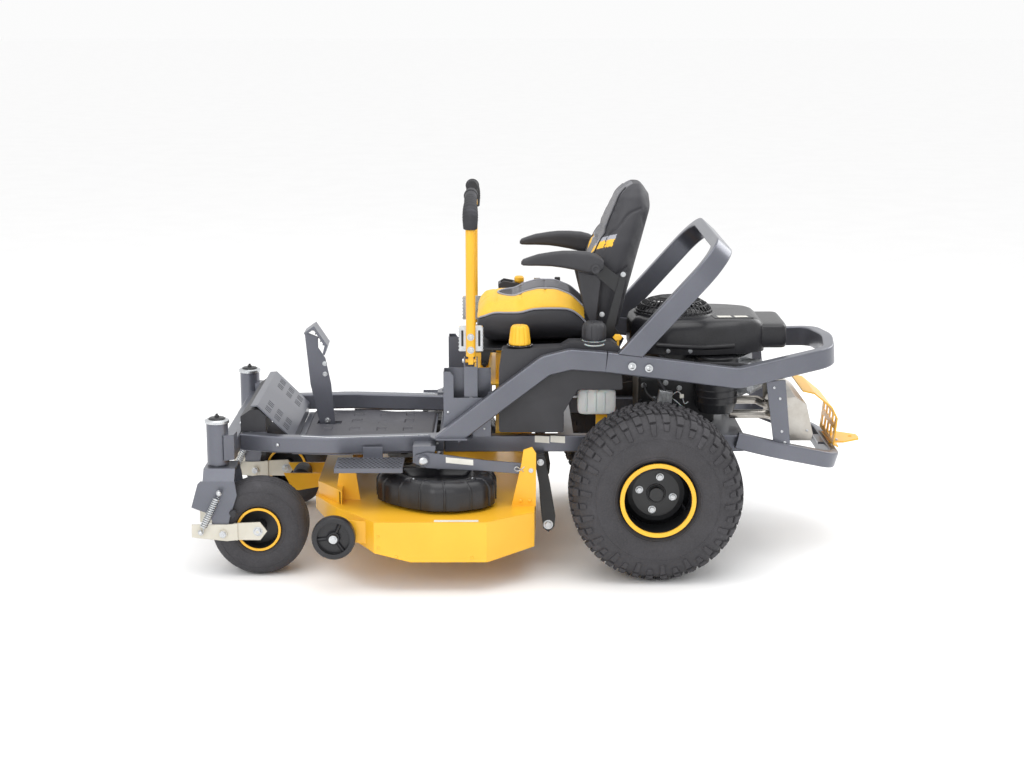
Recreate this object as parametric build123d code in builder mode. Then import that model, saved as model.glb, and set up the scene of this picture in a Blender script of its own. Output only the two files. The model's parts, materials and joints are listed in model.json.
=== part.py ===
"""Zero turn mower: open front deck, three-blade cutting deck, V-twin engine and sprung front casters."""
import os
from math import cos, radians, sin

from build123d import *

# Millimetres. While modelling, X runs to the rear from the drive axle, Y to the machine's right
# and Z up from the ground. The finished pieces are then moved together onto the centre of their own base.
wheelbase = 1392
drive_radius = 305
drive_width = 290
drive_centre_y = 480
caster_radius = 170
caster_width = 156
caster_pivot_x = -1536
caster_y = 435
caster_axle_x = -wheelbase
arm_pivot = (-1513, 163)
tube_height = 72
tube_width = 40
tube_wall = 4
arch_y = 390
rail_height = 60
rail_width = 44
deck_half_width = 690
deck_top = 250
deck_sheet = 5
blade_radius = 230
blade_z = 128
side_spindle = (-715, 445)
centre_spindle = (-905, 0)
lift_pivot = (-812, 412)
lift_pin = (-458, 378)
lever_x = -647
lever_y = 338
lever_pivot_z = 600
swing_pivot_z = 740
seat_hinge = (-600, 700)
crank_x = 99
running_gap = 0.05
body_gap = 1.0

pieces = {}


def side_plate(outline, y_from, y_to):
    """A side-view outline, (X, Z) points, made solid between two Y planes."""
    with BuildPart() as blank:
        with BuildSketch(Plane.XZ.offset(-y_to)):
            with BuildLine():
                Polyline(*outline, close=True)
            make_face()
        extrude(amount=y_to - y_from)
    return blank.part


def plan_plate(outline, z_from, z_to):
    """A plan outline, (X, Y) points, made solid between two heights."""
    with BuildPart() as blank:
        with BuildSketch(Plane.XY.offset(z_from)):
            with BuildLine():
                Polyline(*outline, close=True)
            make_face()
        extrude(amount=z_to - z_from)
    return blank.part


def front_plate(outline, x_from, x_to):
    """A front-view outline, (Y, Z) points, made solid between two X planes."""
    with BuildPart() as blank:
        with BuildSketch(Plane.YZ.offset(x_from)):
            with BuildLine():
                Polyline(*outline, close=True)
            make_face()
        extrude(amount=x_to - x_from)
    return blank.part


def block(low, high, edge=0):
    """A box between two corners, with its edges rounded if asked."""
    middle = [(a + b) / 2 for a, b in zip(low, high)]
    with BuildPart() as blank:
        with Locations(tuple(middle)):
            Box(*[b - a for a, b in zip(low, high)])
        if edge:
            fillet(blank.edges(), radius=edge)
    return blank.part


def rod(start, end, radius, bore=0):
    """A round bar or tube between two points."""
    line = Vector(*end) - Vector(*start)
    with BuildPart() as blank:
        with BuildSketch(Plane(origin=start, z_dir=line)):
            Circle(radius)
            if bore:
                Circle(bore, mode=Mode.SUBTRACT)
        extrude(amount=line.length)
    return blank.part


def turned(profile, centre):
    """A (radius, Y) profile turned about the crosswise axis through centre, an (X, Z) point."""
    with BuildPart() as blank:
        with BuildSketch(Plane.XY.offset(centre[1])):
            with BuildLine():
                Polyline(*[(centre[0] + r, y) for r, y in profile], close=True)
            make_face()
        revolve(axis=Axis((centre[0], 0, centre[1]), (0, 1, 0)))
    return blank.part


def turned_up(profile, centre):
    """A (radius, Z) profile turned about the upright axis through centre, an (X, Y) point."""
    with BuildPart() as blank:
        with BuildSketch(Plane.XZ.offset(-centre[1])):
            with BuildLine():
                Polyline(*[(centre[0] + r, z) for r, z in profile], close=True)
            make_face()
        revolve(axis=Axis((centre[0], centre[1], 0), (0, 0, 1)))
    return blank.part


def bent_tube(points, radii, width, height, across, wall=0, corner=6):
    """A rectangular tube along a bent path; across is the direction that width lies in at the start."""
    with BuildPart() as tube:
        with BuildLine() as path:
            FilletPolyline(*points, radius=radii)
        start = Plane(origin=path.line @ 0, x_dir=across, z_dir=path.line % 0)
        with BuildSketch(start):
            RectangleRounded(width, height, corner)
            if wall:
                RectangleRounded(width - 2 * wall, height - 2 * wall, corner / 2, mode=Mode.SUBTRACT)
        sweep(path=path.line)
    return tube.part


def bent_rod(points, radii, radius):
    """A round bar along a bent path."""
    with BuildPart() as bar:
        with BuildLine() as path:
            FilletPolyline(*points, radius=radii)
        with BuildSketch(Plane(origin=path.line @ 0, z_dir=path.line % 0)):
            Circle(radius)
        sweep(path=path.line)
    return bar.part


def folded_sheet(line, thickness, y_from, y_to):
    """A sheet bent along crosswise folds; line is its side view as (X, Z) points."""
    with BuildPart() as sheet:
        with BuildSketch(Plane.XZ.offset(-y_to)):
            with BuildLine():
                Polyline(*line)
            trace(line_width=thickness)
        extrude(amount=y_to - y_from)
    return sheet.part


def mirrored(shape):
    """The same piece on the machine's other side."""
    with BuildPart() as twin:
        mirror(shape, about=Plane.XZ)
    return twin.part


def keep(name, shape):
    pieces[name] = shape


def keep_pair(name, left):
    pieces[name + "_left"] = left
    pieces[name + "_right"] = mirrored(left)


# ---- drive wheels
def drive_profile(outer, wall):
    """Half of the tyre's section outside the bead, as (radius, distance from the wheel's middle plane)."""
    half = drive_width / 2 - wall
    top = outer - wall
    return [
        (132, half - 42), (140, half - 22), (165, half - 5), (205, half), (245, half - 3),
        (272, half - 14), (top - 10, half - 32), (top - 3, half - 52), (top, half - 75), (top, 0),
    ]


def closed_ring(outer_half, inner_half, middle_y):
    """An open-bellied tyre section from an outer and an inner half."""
    outside = outer_half + [(r, -o) for r, o in reversed(outer_half[:-1])]
    inside = inner_half + [(r, -o) for r, o in reversed(inner_half[:-1])]
    return [(r, middle_y - o) for r, o in outside + inside[::-1]]


drive_half = drive_profile(drive_radius, 0)
drive_inner = drive_profile(drive_radius, 16)
drive_tyre = turned(closed_ring(drive_half, drive_inner, -drive_centre_y), (0, drive_radius))
keep_pair("drive_tyre", drive_tyre)

with BuildPart() as drive_rim:
    section = [(131.5, 100), (127, 94), (127, -94), (131.5, -100), (131.5, -106), (121, -106),
               (121, 4), (94, 30), (20, 30), (20, 40), (82, 40), (100, 36), (121, 12), (121, 128),
               (117, 134), (117, 142), (130, 142), (130, 134), (127, 128), (127, 106), (131.5, 106)]
    add(turned([(r, -drive_centre_y - o) for r, o in section], (0, drive_radius)))
    add(rod((0, -drive_centre_y - 62, drive_radius), (0, -330, drive_radius), 24))
    add(rod((0, -331, drive_radius), (0, -285, drive_radius), 16))
    with BuildSketch(Plane.XZ.offset(drive_centre_y + 50)):
        with Locations((0, drive_radius)):
            with PolarLocations(60, 4, start_angle=-12):
                Circle(7)
    extrude(amount=-30, mode=Mode.SUBTRACT)
keep_pair("drive_rim", drive_rim.part)

# ---- sprung casters
caster_side = caster_width / 2
caster_half = [
    (78, 60), (84, 70), (100, caster_side - 1), (125, caster_side), (148, 72), (162, 58), (168, 36),
    (caster_radius, 14), (caster_radius, 0),
]
caster_inner = [
    (78, 48), (90, 60), (104, 65), (122, 66), (140, 61), (152, 50), (157, 32), (158, 12), (158, 0),
]
caster_axle = (caster_axle_x, caster_radius)
keep_pair("caster_tyre", turned(closed_ring(caster_half, caster_inner, -caster_y), caster_axle))

with BuildPart() as caster_rim:
    disc = [
        (77.5, 70), (77.5, 62), (73, 58), (73, -58), (77.5, -62), (77.5, -70), (70, -70), (68, -40), (66, -6),
        (22, -6), (22, -62), (9.1, -62), (9.1, 62), (22, 62), (22, 6), (66, 6), (68, 40), (70, 70),
    ]
    add(turned([(r, -caster_y - o) for r, o in disc], caster_axle))
keep_pair("caster_rim", caster_rim.part)

with BuildPart() as swing_arm:
    front_half = [
        (-1622, 196), (-1500, 196), (-1462, 199), (-1462, 140), (-1500, 136), (-1590, 146), (-1622, 150),
    ]
    joggle = [(-1476, 199), (-1462, 199), (-1462, 139), (-1476, 139)]
    pivot_x, pivot_z = arm_pivot
    rear_half = [(-1476, 199), (-1384, 203), (-1360, 170), (-1384, 138), (-1476, 139)]
    for side in (-1, 1):
        near, far = sorted((side * 90, side * 96))
        add(side_plate(front_half, -caster_y + near, -caster_y + far))
        near, far = sorted((side * 84.5, side * 90.5))
        add(side_plate(rear_half, -caster_y + near, -caster_y + far))
        near, far = sorted((side * 84.5, side * 96))
        add(side_plate(joggle, -caster_y + near, -caster_y + far))
        add(rod((pivot_x, -caster_y + side * 81, pivot_z), (pivot_x, -caster_y + side * 104, pivot_z), 9))
        add(rod((pivot_x, -caster_y + side * 96, pivot_z), (pivot_x, -caster_y + side * 105, pivot_z), 15))
        add(rod((-1588, -caster_y + side * 95, 172), (-1588, -caster_y + side * 118, 172), 5))
    axle_start = (caster_axle_x, -caster_y - 100, caster_radius)
    axle_end = (caster_axle_x, -caster_y + 100, caster_radius)
    add(rod(axle_start, axle_end, 9))
keep_pair("swing_arm", swing_arm.part)

with BuildPart() as caster_fork:
    cheek = [
        (-1588, 349.7), (-1469, 349.7), (-1462, 300), (-1490, 214), (-1503, 140), (-1528, 140), (-1560, 232),
        (-1622, 256), (-1598, 340),
    ]
    for side in (-1, 1):
        near, far = sorted((side * 82, side * 88))
        add(side_plate(cheek, -caster_y + near, -caster_y + far))
    shoulder = [(-88, 350), (-56, 388), (56, 388), (88, 350), (82, 350), (53, 382), (-53, 382), (-82, 350)]
    add(front_plate([(-caster_y + y, z) for y, z in shoulder], -1580, -1470))
    add(rod((caster_pivot_x, -caster_y, 386), (caster_pivot_x, -caster_y, 392), 30))
    add(rod((caster_pivot_x, -caster_y, 391), (caster_pivot_x, -caster_y, 536), 16))
    for side in (-1, 1):
        add(rod((-1520, -caster_y + side * 87, 314), (-1520, -caster_y + side * 118, 314), 5))
        start = (arm_pivot[0], -caster_y + side * 80, arm_pivot[1])
        end = (arm_pivot[0], -caster_y + side * 90, arm_pivot[1])
        add(rod(start, end, 9 + running_gap), mode=Mode.SUBTRACT)
keep_pair("caster_fork", caster_fork.part)

with BuildPart() as springs:
    for side in (-1, 1):
        y = -caster_y + side * 111
        add(rod((-1582.8, y, 184.5), (-1525.2, y, 301.5), 12, 9.5))
keep_pair("spring", springs.part)

# ---- frame: bowed side rails, crossmembers, caster posts, lever towers and the inner frame
rail_line = [(-1466, -300, 441), (-1330, -345, 441), (-1120, -362, 441), (-748, -318, 441)]
left_rail = bent_tube(rail_line, 150, rail_width, rail_height, (0, 1, 0), tube_wall)
arch_line = [
    (-752, -arch_y, 452), (-555, -arch_y, 606), (-385, -arch_y, 735), (-295, -arch_y, 757),
            (-172, -arch_y, 747),
]
left_arch = bent_tube(arch_line, 60, tube_width, tube_height, (0, 1, 0), tube_wall)
with BuildPart() as side_rails:
    add(left_arch)
    with Locations((-752, -arch_y, 430)):
        Box(120, 120, 84, mode=Mode.SUBTRACT)
    arch_foot = [
        (-790, -395), (-770, -425), (-660, -425), (-640, -400), (-640, -367), (-745, -367),
                (-745, -335), (-790, -335),
    ]
    add(plan_plate(arch_foot, 471, 477))
    add(left_rail)
    mirror(side_rails.part, about=Plane.XZ)
keep("side_rails", side_rails.part)

with BuildPart() as main_frame:
    post = turned_up([(38, 393), (38, 540), (16 + running_gap, 540),
            (16 + running_gap, 393)], (caster_pivot_x, -caster_y))
    web = plan_plate([(-1510, -470), (-1476, -452), (-1472, -398), (-1512, -402)], 410, 500)
    cross = block((-1530, -400, 412), (-1474, 400, 470), 5)
    tower_shell = block((-744, -366, 470), (-576, -292, 706))
    tower_room = block((-741, -363, 480), (-579, -295, 720))
    notch = side_plate([(-725, 715), (-668, 633), (-577, 633), (-570, 715)], -370, -340)
    mouth = block((-708, -380, 612), (-586, -296, 720))
    lever_pin = rod((lever_x, -365, lever_pivot_z), (lever_x, -293, lever_pivot_z), 8)
    inner_rail = block((-744, -327, 405), (330, -286, 465), 5)
    axle_plate = block((-130, -328, 330), (130, -320, 405.5))
    add(cross)
    for shape in (post, web, inner_rail, axle_plate):
        add(shape)
        mirror(shape, about=Plane.XZ)
    for x in (-690, -330, 20, 270):
        add(block((x, -300, 412), (x + 50, 300, 458)))
    add(block((20, -290, 455), (330, 290, 463)))
    add(tower_shell)
    mirror(tower_shell, about=Plane.XZ)
    with Locations((crank_x, 0, 460)):
        Cylinder(45, 20, mode=Mode.SUBTRACT)
    channel_line = [(300, -345, 452), (430, -345, 420), (672, -225, 345), (672, 225, 345),
            (430, 345, 420), (300, 345, 452)]
    add(bent_tube(channel_line, [200, 90, 90, 200], 36, 58, (0, 1, 0), tube_wall))
    upright = side_plate([(402, 662), (470, 666), (496, 408), (436, 424)], -331, -319)
    lift_ear = side_plate([(-850, 460), (-850, 400), (-780, 392), (-770, 460)], -462, -454)
    lift_foot = plan_plate([(-850, -462), (-770, -462), (-770, -344), (-850, -353)], 446, 454)
    for shape in (upright, lift_ear, lift_foot):
        add(shape)
        mirror(shape, about=Plane.XZ)
    add(block((640, -60, 366), (690, 60, 374)))
    pivot_hole = rod((lift_pivot[0], -470, lift_pivot[1]),
            (lift_pivot[0], -450, lift_pivot[1]), 14 + running_gap)
    add(pivot_hole, mode=Mode.SUBTRACT)
    mirror(pivot_hole, about=Plane.XZ, mode=Mode.SUBTRACT)
    add(side_rails.part, mode=Mode.SUBTRACT)
    for shape in (tower_room, notch, mouth):
        add(shape, mode=Mode.SUBTRACT)
        mirror(shape, about=Plane.XZ, mode=Mode.SUBTRACT)
    add(lever_pin)
    mirror(lever_pin, about=Plane.XZ)
keep("main_frame", main_frame.part)

# ---- rear bumper and seat hoop
bumper_line = [
    (-170, -arch_y, 747), (292, -arch_y, 688), (645, -205, 728), (672, 0, 736),
    (645, 205, 728), (292, arch_y, 688), (-170, arch_y, 747),
]
rear_bumper = bent_tube(bumper_line, [90, 110, 400, 110, 90], tube_width, tube_height, (0, 1, 0), tube_wall)
keep("rear_bumper", rear_bumper)

hoop_line = [(-104, -arch_y, 754), (236, -arch_y, 1133), (236, arch_y, 1133), (-104, arch_y, 754)]
with BuildPart() as seat_hoop:
    add(bent_tube(hoop_line, 120, tube_width, tube_height, (0, 1, 0), tube_wall))
    below_bumper = side_plate([(-300, 800.3), (200, 736.4), (200, 600), (-300, 600)], -450, 450)
    add(below_bumper, mode=Mode.SUBTRACT)
keep("seat_hoop", seat_hoop.part)

with BuildPart() as frame_bolts:
    for x, z in ((-82, 736), (-23, 729)):
        for side in (-1, 1):
            y = side * (arch_y + tube_width / 2 + body_gap)
            add(rod((x, y, z), (x, y + side * 9, z), 13))
    cap = turned_up([(0, 541), (43, 541), (43, 550), (36, 554), (8, 555), (7, 562),
            (0, 562)], (caster_pivot_x, -caster_y))
    add(cap)
    mirror(cap, about=Plane.XZ)
keep("frame_bolts", frame_bolts.part)

# ---- foot deck, pedal and lift gear
with BuildPart() as foot_deck:
    floor = plan_plate([(-1290, -320), (-1120, -336), (-784, -292), (-784, 292), (-1120, 336),
            (-1290, 320)], 396, 402)
    add(floor)
    add(block((-1236, 92, 380), (-1156, 128, 410)), mode=Mode.SUBTRACT)
    add(folded_sheet([(-1292, 405), (-1290, 446), (-1412, 568), (-1436, 566)], 5, -296, 296))
    for y in (-230, -150, 150, 230):
        for step in (0.24, 0.5, 0.76):
            x = -1290 - 122 * step
            z = 446 + 122 * step
            with Locations(Plane(origin=(x, y, z), z_dir=(1, 0, 1))):
                with GridLocations(0, 22, 1, 3):
                    Box(26, 9, 30, mode=Mode.SUBTRACT)
    tread_plate = block((-1120, -540, 394), (-882, -384, 400))
    tread_lip = block((-1120, -540, 384), (-882, -535, 400))
    tread_post = block((-1030, -392, 394), (-960, -385, 440))
    for shape in (tread_plate, tread_lip, tread_post):
        add(shape)
        mirror(shape, about=Plane.XZ)
    add(side_rails.part, mode=Mode.SUBTRACT)
keep("foot_deck", foot_deck.part)

with BuildPart() as foot_mat:
    mat = plan_plate([(-1268, -312), (-1120, -328), (-792, -286), (-792, 286), (-1120, 328),
            (-1268, 312)], 402, 414)
    add(mat)
    add(block((-1236, 84, 398), (-1150, 136, 420)), mode=Mode.SUBTRACT)
    for x in (-1130, -1030, -930, -840):
        for y in (-220, -80, 220):
            with Locations((x, y, 414)):
                Box(34, 60, 8, mode=Mode.SUBTRACT)
keep("foot_mat", foot_mat.part)

with BuildPart() as front_cover:
    hood = side_plate([(-1474, 472), (-1384, 472), (-1384, 530), (-1407, 553), (-1438, 553),
            (-1474, 528)], -292, 292)
    add(hood)
    add(block((-1470, -286, 460), (-1388, 286, 520)), mode=Mode.SUBTRACT)
    add(block((-1420, -120, 520), (-1380, 120, 570)), mode=Mode.SUBTRACT)
keep("front_cover", front_cover.part)

pedal_pivot = (-1196, 384)
with BuildPart() as lift_pedal:
    stem = side_plate([(-1222, 372), (-1172, 372), (-1172, 410), (-1184, 560), (-1204, 660),
            (-1230, 700), (-1230, 742),
                       (-1280, 762), (-1262, 560), (-1232, 420)], 104, 114)
    tread = side_plate([(-1278, 765), (-1240, 792), (-1190, 716), (-1202, 680), (-1210, 684), (-1202, 716),
                        (-1242, 778), (-1274, 758)], 60, 158)
    add(stem)
    add(tread)
    add(rod((pedal_pivot[0], 80, pedal_pivot[1]), (pedal_pivot[0], 140, pedal_pivot[1]), 11))
keep("lift_pedal", lift_pedal.part)

with BuildPart() as lift_shaft:
    arm_outline = [
        (-842, 400), (-840, 430), (-800, 440), (-600, 412), (-440, 398), (-426, 378), (-440, 360),
                (-600, 374), (-800, 384),
    ]
    add(side_plate(arm_outline, -474, -466))
    add(rod((lift_pivot[0], -486, lift_pivot[1]), (lift_pivot[0], -452, lift_pivot[1]), 14))
    add(rod((lift_pivot[0], -486, lift_pivot[1]), (lift_pivot[0], -474, lift_pivot[1]), 20))
    add(block((lift_pin[0] - 9, -480, lift_pin[1] - 8),
            (lift_pin[0] + 22, -460, lift_pin[1] + 8)), mode=Mode.SUBTRACT)
    mirror(lift_shaft.part, about=Plane.XZ)
    add(rod((-760, -470, 390), (-760, 470, 390), 12))
keep("lift_shaft", lift_shaft.part)

# ---- cutting deck
plan = [
    (-1205, -345), (-1120, -500), (-1010, -640), (-975, -deck_half_width), (-590, -deck_half_width),
    (-425, -565), (-415, -300), (-415, 300), (-425, 565), (-590, deck_half_width), (-975, deck_half_width),
    (-1010, 640), (-1120, 500), (-1205, 345),
]
with BuildPart() as deck_shell:
    add(plan_plate(plan, 108, deck_top))
    with BuildSketch(Plane.XY.offset(100)):
        with BuildLine() as inside:
            Polyline(*plan, close=True)
        offset(make_face(mode=Mode.PRIVATE), amount=-deck_sheet)
    extrude(amount=deck_top - deck_sheet - 100, mode=Mode.SUBTRACT)
    belly = [(-1210, 60), (-1210, 205), (-1120, 170), (-980, 142), (-850, 108), (-580, 108),
            (-400, 129), (-400, 60)]
    add(side_plate(belly, -750, 750), mode=Mode.SUBTRACT)
    add(block((-700, 600, 60), (-480, 760, 212)), mode=Mode.SUBTRACT)
    rim = [(-1196, -330), (-1100, -470), (-1100, 470), (-1196, 330)]
    add(plan_plate(rim, deck_top - 1, 300))
    inner_rim = [(-1190, -324), (-1106, -462), (-1106, 462), (-1190, 324)]
    add(plan_plate(inner_rim, deck_top - 4, 294), mode=Mode.SUBTRACT)
    for side in (-1, 1):
        low, high = sorted((side * 478, side * 484))
        hanger = [(-505, 246), (-418, 246), (-418, 440), (-432, 462), (-462, 452), (-470, 400)]
        add(side_plate(hanger, low, high))
        front_low, front_high = sorted((side * 396, side * 402))
        add(side_plate([(-1130, 246), (-1040, 246), (-1056, 358), (-1114, 358)], front_low, front_high))
        arm_low, arm_high = sorted((side * 640, side * 646))
        add(side_plate([(-1140, 180), (-1000, 160), (-1000, 240), (-1090, 246),
                (-1130, 226)], arm_low, arm_high))
        add(rod((-1112, side * 645, 196), (-1112, side * 712, 196), 8))
        low, high = sorted((side * 76, side * 82))
        add(side_plate([(-1350, 262), (-1190, 262), (-1190, 215), (-1296, 196), (-1318, 200)], low, high))
    add(rod((-1290, -82, 236), (-1290, 82, 236), 7))
    for x, y in (side_spindle, (side_spindle[0], -side_spindle[1]), centre_spindle):
        with Locations((x, y, 0)):
            Cylinder(16 + running_gap, 900, mode=Mode.SUBTRACT)
    for side in (-1, 1):
        add(rod((lift_pin[0], side * 480, lift_pin[1]), (lift_pin[0], side * 461, lift_pin[1]), 6))
keep("deck_shell", deck_shell.part)

with BuildPart() as spindles:
    for x, y in (side_spindle, (side_spindle[0], -side_spindle[1]), centre_spindle):
        housing = [(16 + running_gap, 146), (40, 146), (48, 236), (75, 240), (75, 244),
                (16 + running_gap, 244)]
        add(turned_up(housing, (x, y)))
        upper = [(16 + running_gap, 251), (80, 251), (78, 257), (42, 264), (38, 280), (16 + running_gap, 280)]
        add(turned_up(upper, (x, y)))
keep("spindles", spindles.part)


def blade(centre, turn):
    """A lifting-wing mower blade with its shaft and drive pulley."""
    x, y = centre
    with BuildPart() as cutter:
        with BuildSketch(Plane(origin=(x, y, blade_z), x_dir=(cos(radians(turn)), sin(radians(turn)), 0))):
            RectangleRounded(2 * blade_radius, 62, 8)
            Circle(10, mode=Mode.SUBTRACT)
        extrude(amount=6)
        for end in (0, 180):
            a = radians(turn + end)
            wing_at = (x + 178 * cos(a) - 24 * sin(a), y + 178 * sin(a) + 24 * cos(a), blade_z + 5.8)
            with Locations(Plane(origin=wing_at, x_dir=(cos(a), sin(a), 0))):
                with Locations((0, 3, 8)):
                    Box(86, 5, 16)
        with Locations((x, y, 0)):
            with Locations((0, 0, 216)):
                Cylinder(16, 190)
            with Locations((0, 0, 116)):
                Cylinder(24, 12)
        pulley = [(15, 296), (62, 296), (62, 299), (52, 306), (62, 313), (62, 316), (15, 316)]
        add(turned_up(pulley, (x, y)))
    return cutter.part


keep("blade_left", blade((side_spindle[0], -side_spindle[1]), 30))
keep("blade_right", blade(side_spindle, 150))
keep("blade_centre", blade(centre_spindle, 90))

with BuildPart() as belt_covers:
    cover_plan = [
        (-978, -330), (-978, -440), (-930, -500), (-860, -560), (-780, -600), (-690, -600), (-600, -560),
        (-562, -500), (-562, -330),
    ]
    add(plan_plate(cover_plan, 262, 358))
    cover_room = [(x + (4 if x < -750 else -4), y + (4 if y < -450 else -4)) for x, y in cover_plan]
    add(plan_plate(cover_room, 250, 354), mode=Mode.SUBTRACT)
    fillet(belt_covers.edges().filter_by(Axis.Z).filter_by(lambda e: e.length > 90), radius=3)
    mirror(belt_covers.part, about=Plane.XZ)
keep("belt_covers", belt_covers.part)

gauge_profile = [(8.3, -20), (70, -20), (75, -14), (75, 14), (70, 20), (8.3, 20)]
gauge = turned([(r, -685 + o) for r, o in gauge_profile], (-1112, 196))
keep_pair("gauge_wheel", gauge)

front_roller = turned([(7.4, -60), (28, -60), (34, -50), (36, 0), (34, 50), (28, 60),
        (7.4, 60)], (-1290, 236))
keep("front_roller", front_roller)

with BuildPart() as discharge_chute:
    add(folded_sheet([(-700, 226), (-480, 226)], 4, 700, 905))
    for x in (-700, -484):
        add(block((x, 700, 140), (x + 4, 905, 227)))
    add(block((-700, 701, 100), (-480, 703, 100.5)), mode=Mode.SUBTRACT)
    add(rod((-715, 703, 232), (-465, 703, 232), 6))
keep("discharge_chute", discharge_chute.part)

# ---- control levers
with BuildPart() as lever_base:
    y = -lever_y
    add(block((lever_x - 24, y - 17, 560), (lever_x + 24, y + 17, 752)))
    add(block((lever_x - 20, y - 13, 640), (lever_x + 20, y + 20, 760)), mode=Mode.SUBTRACT)
    add(block((lever_x - 20, y - 20, 722), (lever_x + 20, y - 12, 760)), mode=Mode.SUBTRACT)
    pivot_bore = rod((lever_x, y - 25, lever_pivot_z), (lever_x, y + 25, lever_pivot_z), 8 + running_gap)
    swing_bore = rod((lever_x - 30, y, swing_pivot_z), (lever_x + 30, y, swing_pivot_z), 7 + running_gap)
    add(pivot_bore, mode=Mode.SUBTRACT)
    add(swing_bore, mode=Mode.SUBTRACT)
keep_pair("lever_base", lever_base.part)

with BuildPart() as lap_bar:
    tube_line = [(lever_x, y, 757), (lever_x, y, 1212), (lever_x, y + 60, 1246)]
    add(bent_rod(tube_line, 44, 17))
    add(block((lever_x - 40, y + 18, 772), (lever_x + 42, y + 23, 862)))
    for z in (782, 828):
        add(rod((lever_x, y - 24, z), (lever_x, y + 19, z), 8))
    add(block((lever_x - 9, y - 9, 728), (lever_x + 9, y + 9, 760)))
    add(rod((lever_x - 23, y, swing_pivot_z), (lever_x + 23, y, swing_pivot_z), 7))
keep_pair("lap_bar", lap_bar.part)

grip_line = [(lever_x, -lever_y + 61.5, 1246.9), (lever_x, -lever_y + 120, 1280),
        (lever_x, -lever_y + 222, 1306)]
keep_pair("grip", bent_rod(grip_line, 60, 22))

# ---- side fenders, tank and small controls
cap_centre = (-212, -325)
dial_centre = (-474, -330)
fender_outline = [
    (-548, 700), (-536, 786), (-330, 794), (-300, 812), (-150, 812), (-120, 790), (-110, 640), (-270, 640),
    (-318, 560), (-318, 486), (-548, 486),
]
with BuildPart() as side_fenders:
    shell = side_plate(fender_outline, -364, -292)
    room = side_plate([(-540, 690), (-530, 778), (-330, 786), (-300, 800), (-158, 800), (-128, 784),
            (-118, 650), (-262, 650),
                       (-308, 566), (-308, 496), (-540, 496)], -356, -280)
    add(shell)
    fillet(side_fenders.edges().filter_by(Axis.Y), radius=9)
    add(room, mode=Mode.SUBTRACT)
    mirror(side_fenders.part, about=Plane.XZ)
    with Locations((cap_centre[0], cap_centre[1], 730)):
        Cylinder(26, 200, mode=Mode.SUBTRACT)
    with Locations((dial_centre[0], dial_centre[1], 790)):
        Cylinder(10 + running_gap, 40, mode=Mode.SUBTRACT)
    console = side_plate([(-543, 799), (-552, 900), (-530, 914), (-300, 872), (-250, 840),
            (-250, 799)], 359, 432)
    console_foot = block((-530, 350, 780), (-260, 364, 812))
    add(console)
    add(console_foot)
    add(block((-542, 368, 870), (-495, 423, 930)), mode=Mode.SUBTRACT)
    for x, y, hole in ((-470, 384, 7), (-400, 396, 6)):
        add(rod((x, y, 810), (x, y, 930), hole + running_gap), mode=Mode.SUBTRACT)
    add(block((-352, 390, 820), (-290, 402, 930)), mode=Mode.SUBTRACT)
keep("side_fenders", side_fenders.part)

with BuildPart() as pto_knob:
    add(turned_up([(0, 830), (7, 830), (7, 907), (16, 907), (19, 912), (19, 924), (14, 930),
            (0, 930)], (-470, 384)))
keep("pto_knob", pto_knob.part)

with BuildPart() as ignition_key:
    add(turned_up([(0, 830), (6, 830), (6, 893), (0, 893)], (-400, 396)))
    add(block((-412, 394, 893), (-388, 398, 921)))
keep("ignition_key", ignition_key.part)

with BuildPart() as throttle_lever:
    add(side_plate([(-325, 834), (-317, 834), (-313, 900), (-329, 900)], 393, 399))
    add(block((-332, 389, 900), (-310, 403, 924), 3))
    add(rod((-321, 391, 838), (-321, 401, 838), 7))
keep("throttle_lever", throttle_lever.part)

with BuildPart() as fuel_tank:
    add(block((-268, -331, 542), (-132, -294, 636), 16))
    add(rod((cap_centre[0], cap_centre[1], 630), (cap_centre[0], cap_centre[1], 800), 22))
keep("fuel_tank", fuel_tank.part)

with BuildPart() as fuel_cap:
    cap = [(0, 806), (20, 806), (20, 813.5), (41, 813.5), (44, 820), (44, 856), (37, 872), (20, 880),
            (0, 881)]
    add(turned_up(cap, cap_centre))
    with Locations((cap_centre[0], cap_centre[1], 876)):
        Box(96, 12, 9)
    with Locations((cap_centre[0], cap_centre[1], 813)):
        Box(8, 100, 12, mode=Mode.SUBTRACT)
keep("fuel_cap", fuel_cap.part)

with BuildPart() as height_dial:
    add(turned_up([(0, 788), (10, 788), (10, 799), (39, 799), (39, 806), (33, 857), (26, 867),
            (0, 868)], dial_centre))
keep("height_dial", height_dial.part)

# ---- seat
arm_pivot_point = (-206, 1059)
with BuildPart() as seat_frame:
    pan = block((-610, -240, 757), (-160, 240, 765), 3)
    ear = side_plate([(-612, 700), (-588, 700), (-575, 757), (-612, 757)], -222, -214)
    pivot = rod((seat_hinge[0], -240, seat_hinge[1] + 4), (seat_hinge[0], 240, seat_hinge[1] + 4), 8)
    strap = side_plate([(-190, 765), (-150, 765), (-92, 1040), (-112, 1046)], -246, -238)
    bracket = side_plate([(-218, 757), (-120, 757), (-100, 800), (-150, 860), (-190, 800)], -238, -230)
    arm_plate = side_plate([(-222, 1066), (-190, 1078), (-100, 1010), (-112, 950), (-216, 1040)], -240, -234)
    arm_pin = rod((arm_pivot_point[0], -262, arm_pivot_point[1]),
            (arm_pivot_point[0], -236, arm_pivot_point[1]), 10)
    for shape in (pan, pivot):
        add(shape)
    for shape in (ear, strap, bracket, arm_plate, arm_pin):
        add(shape)
        mirror(shape, about=Plane.XZ)
keep("seat_frame", seat_frame.part)

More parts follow.
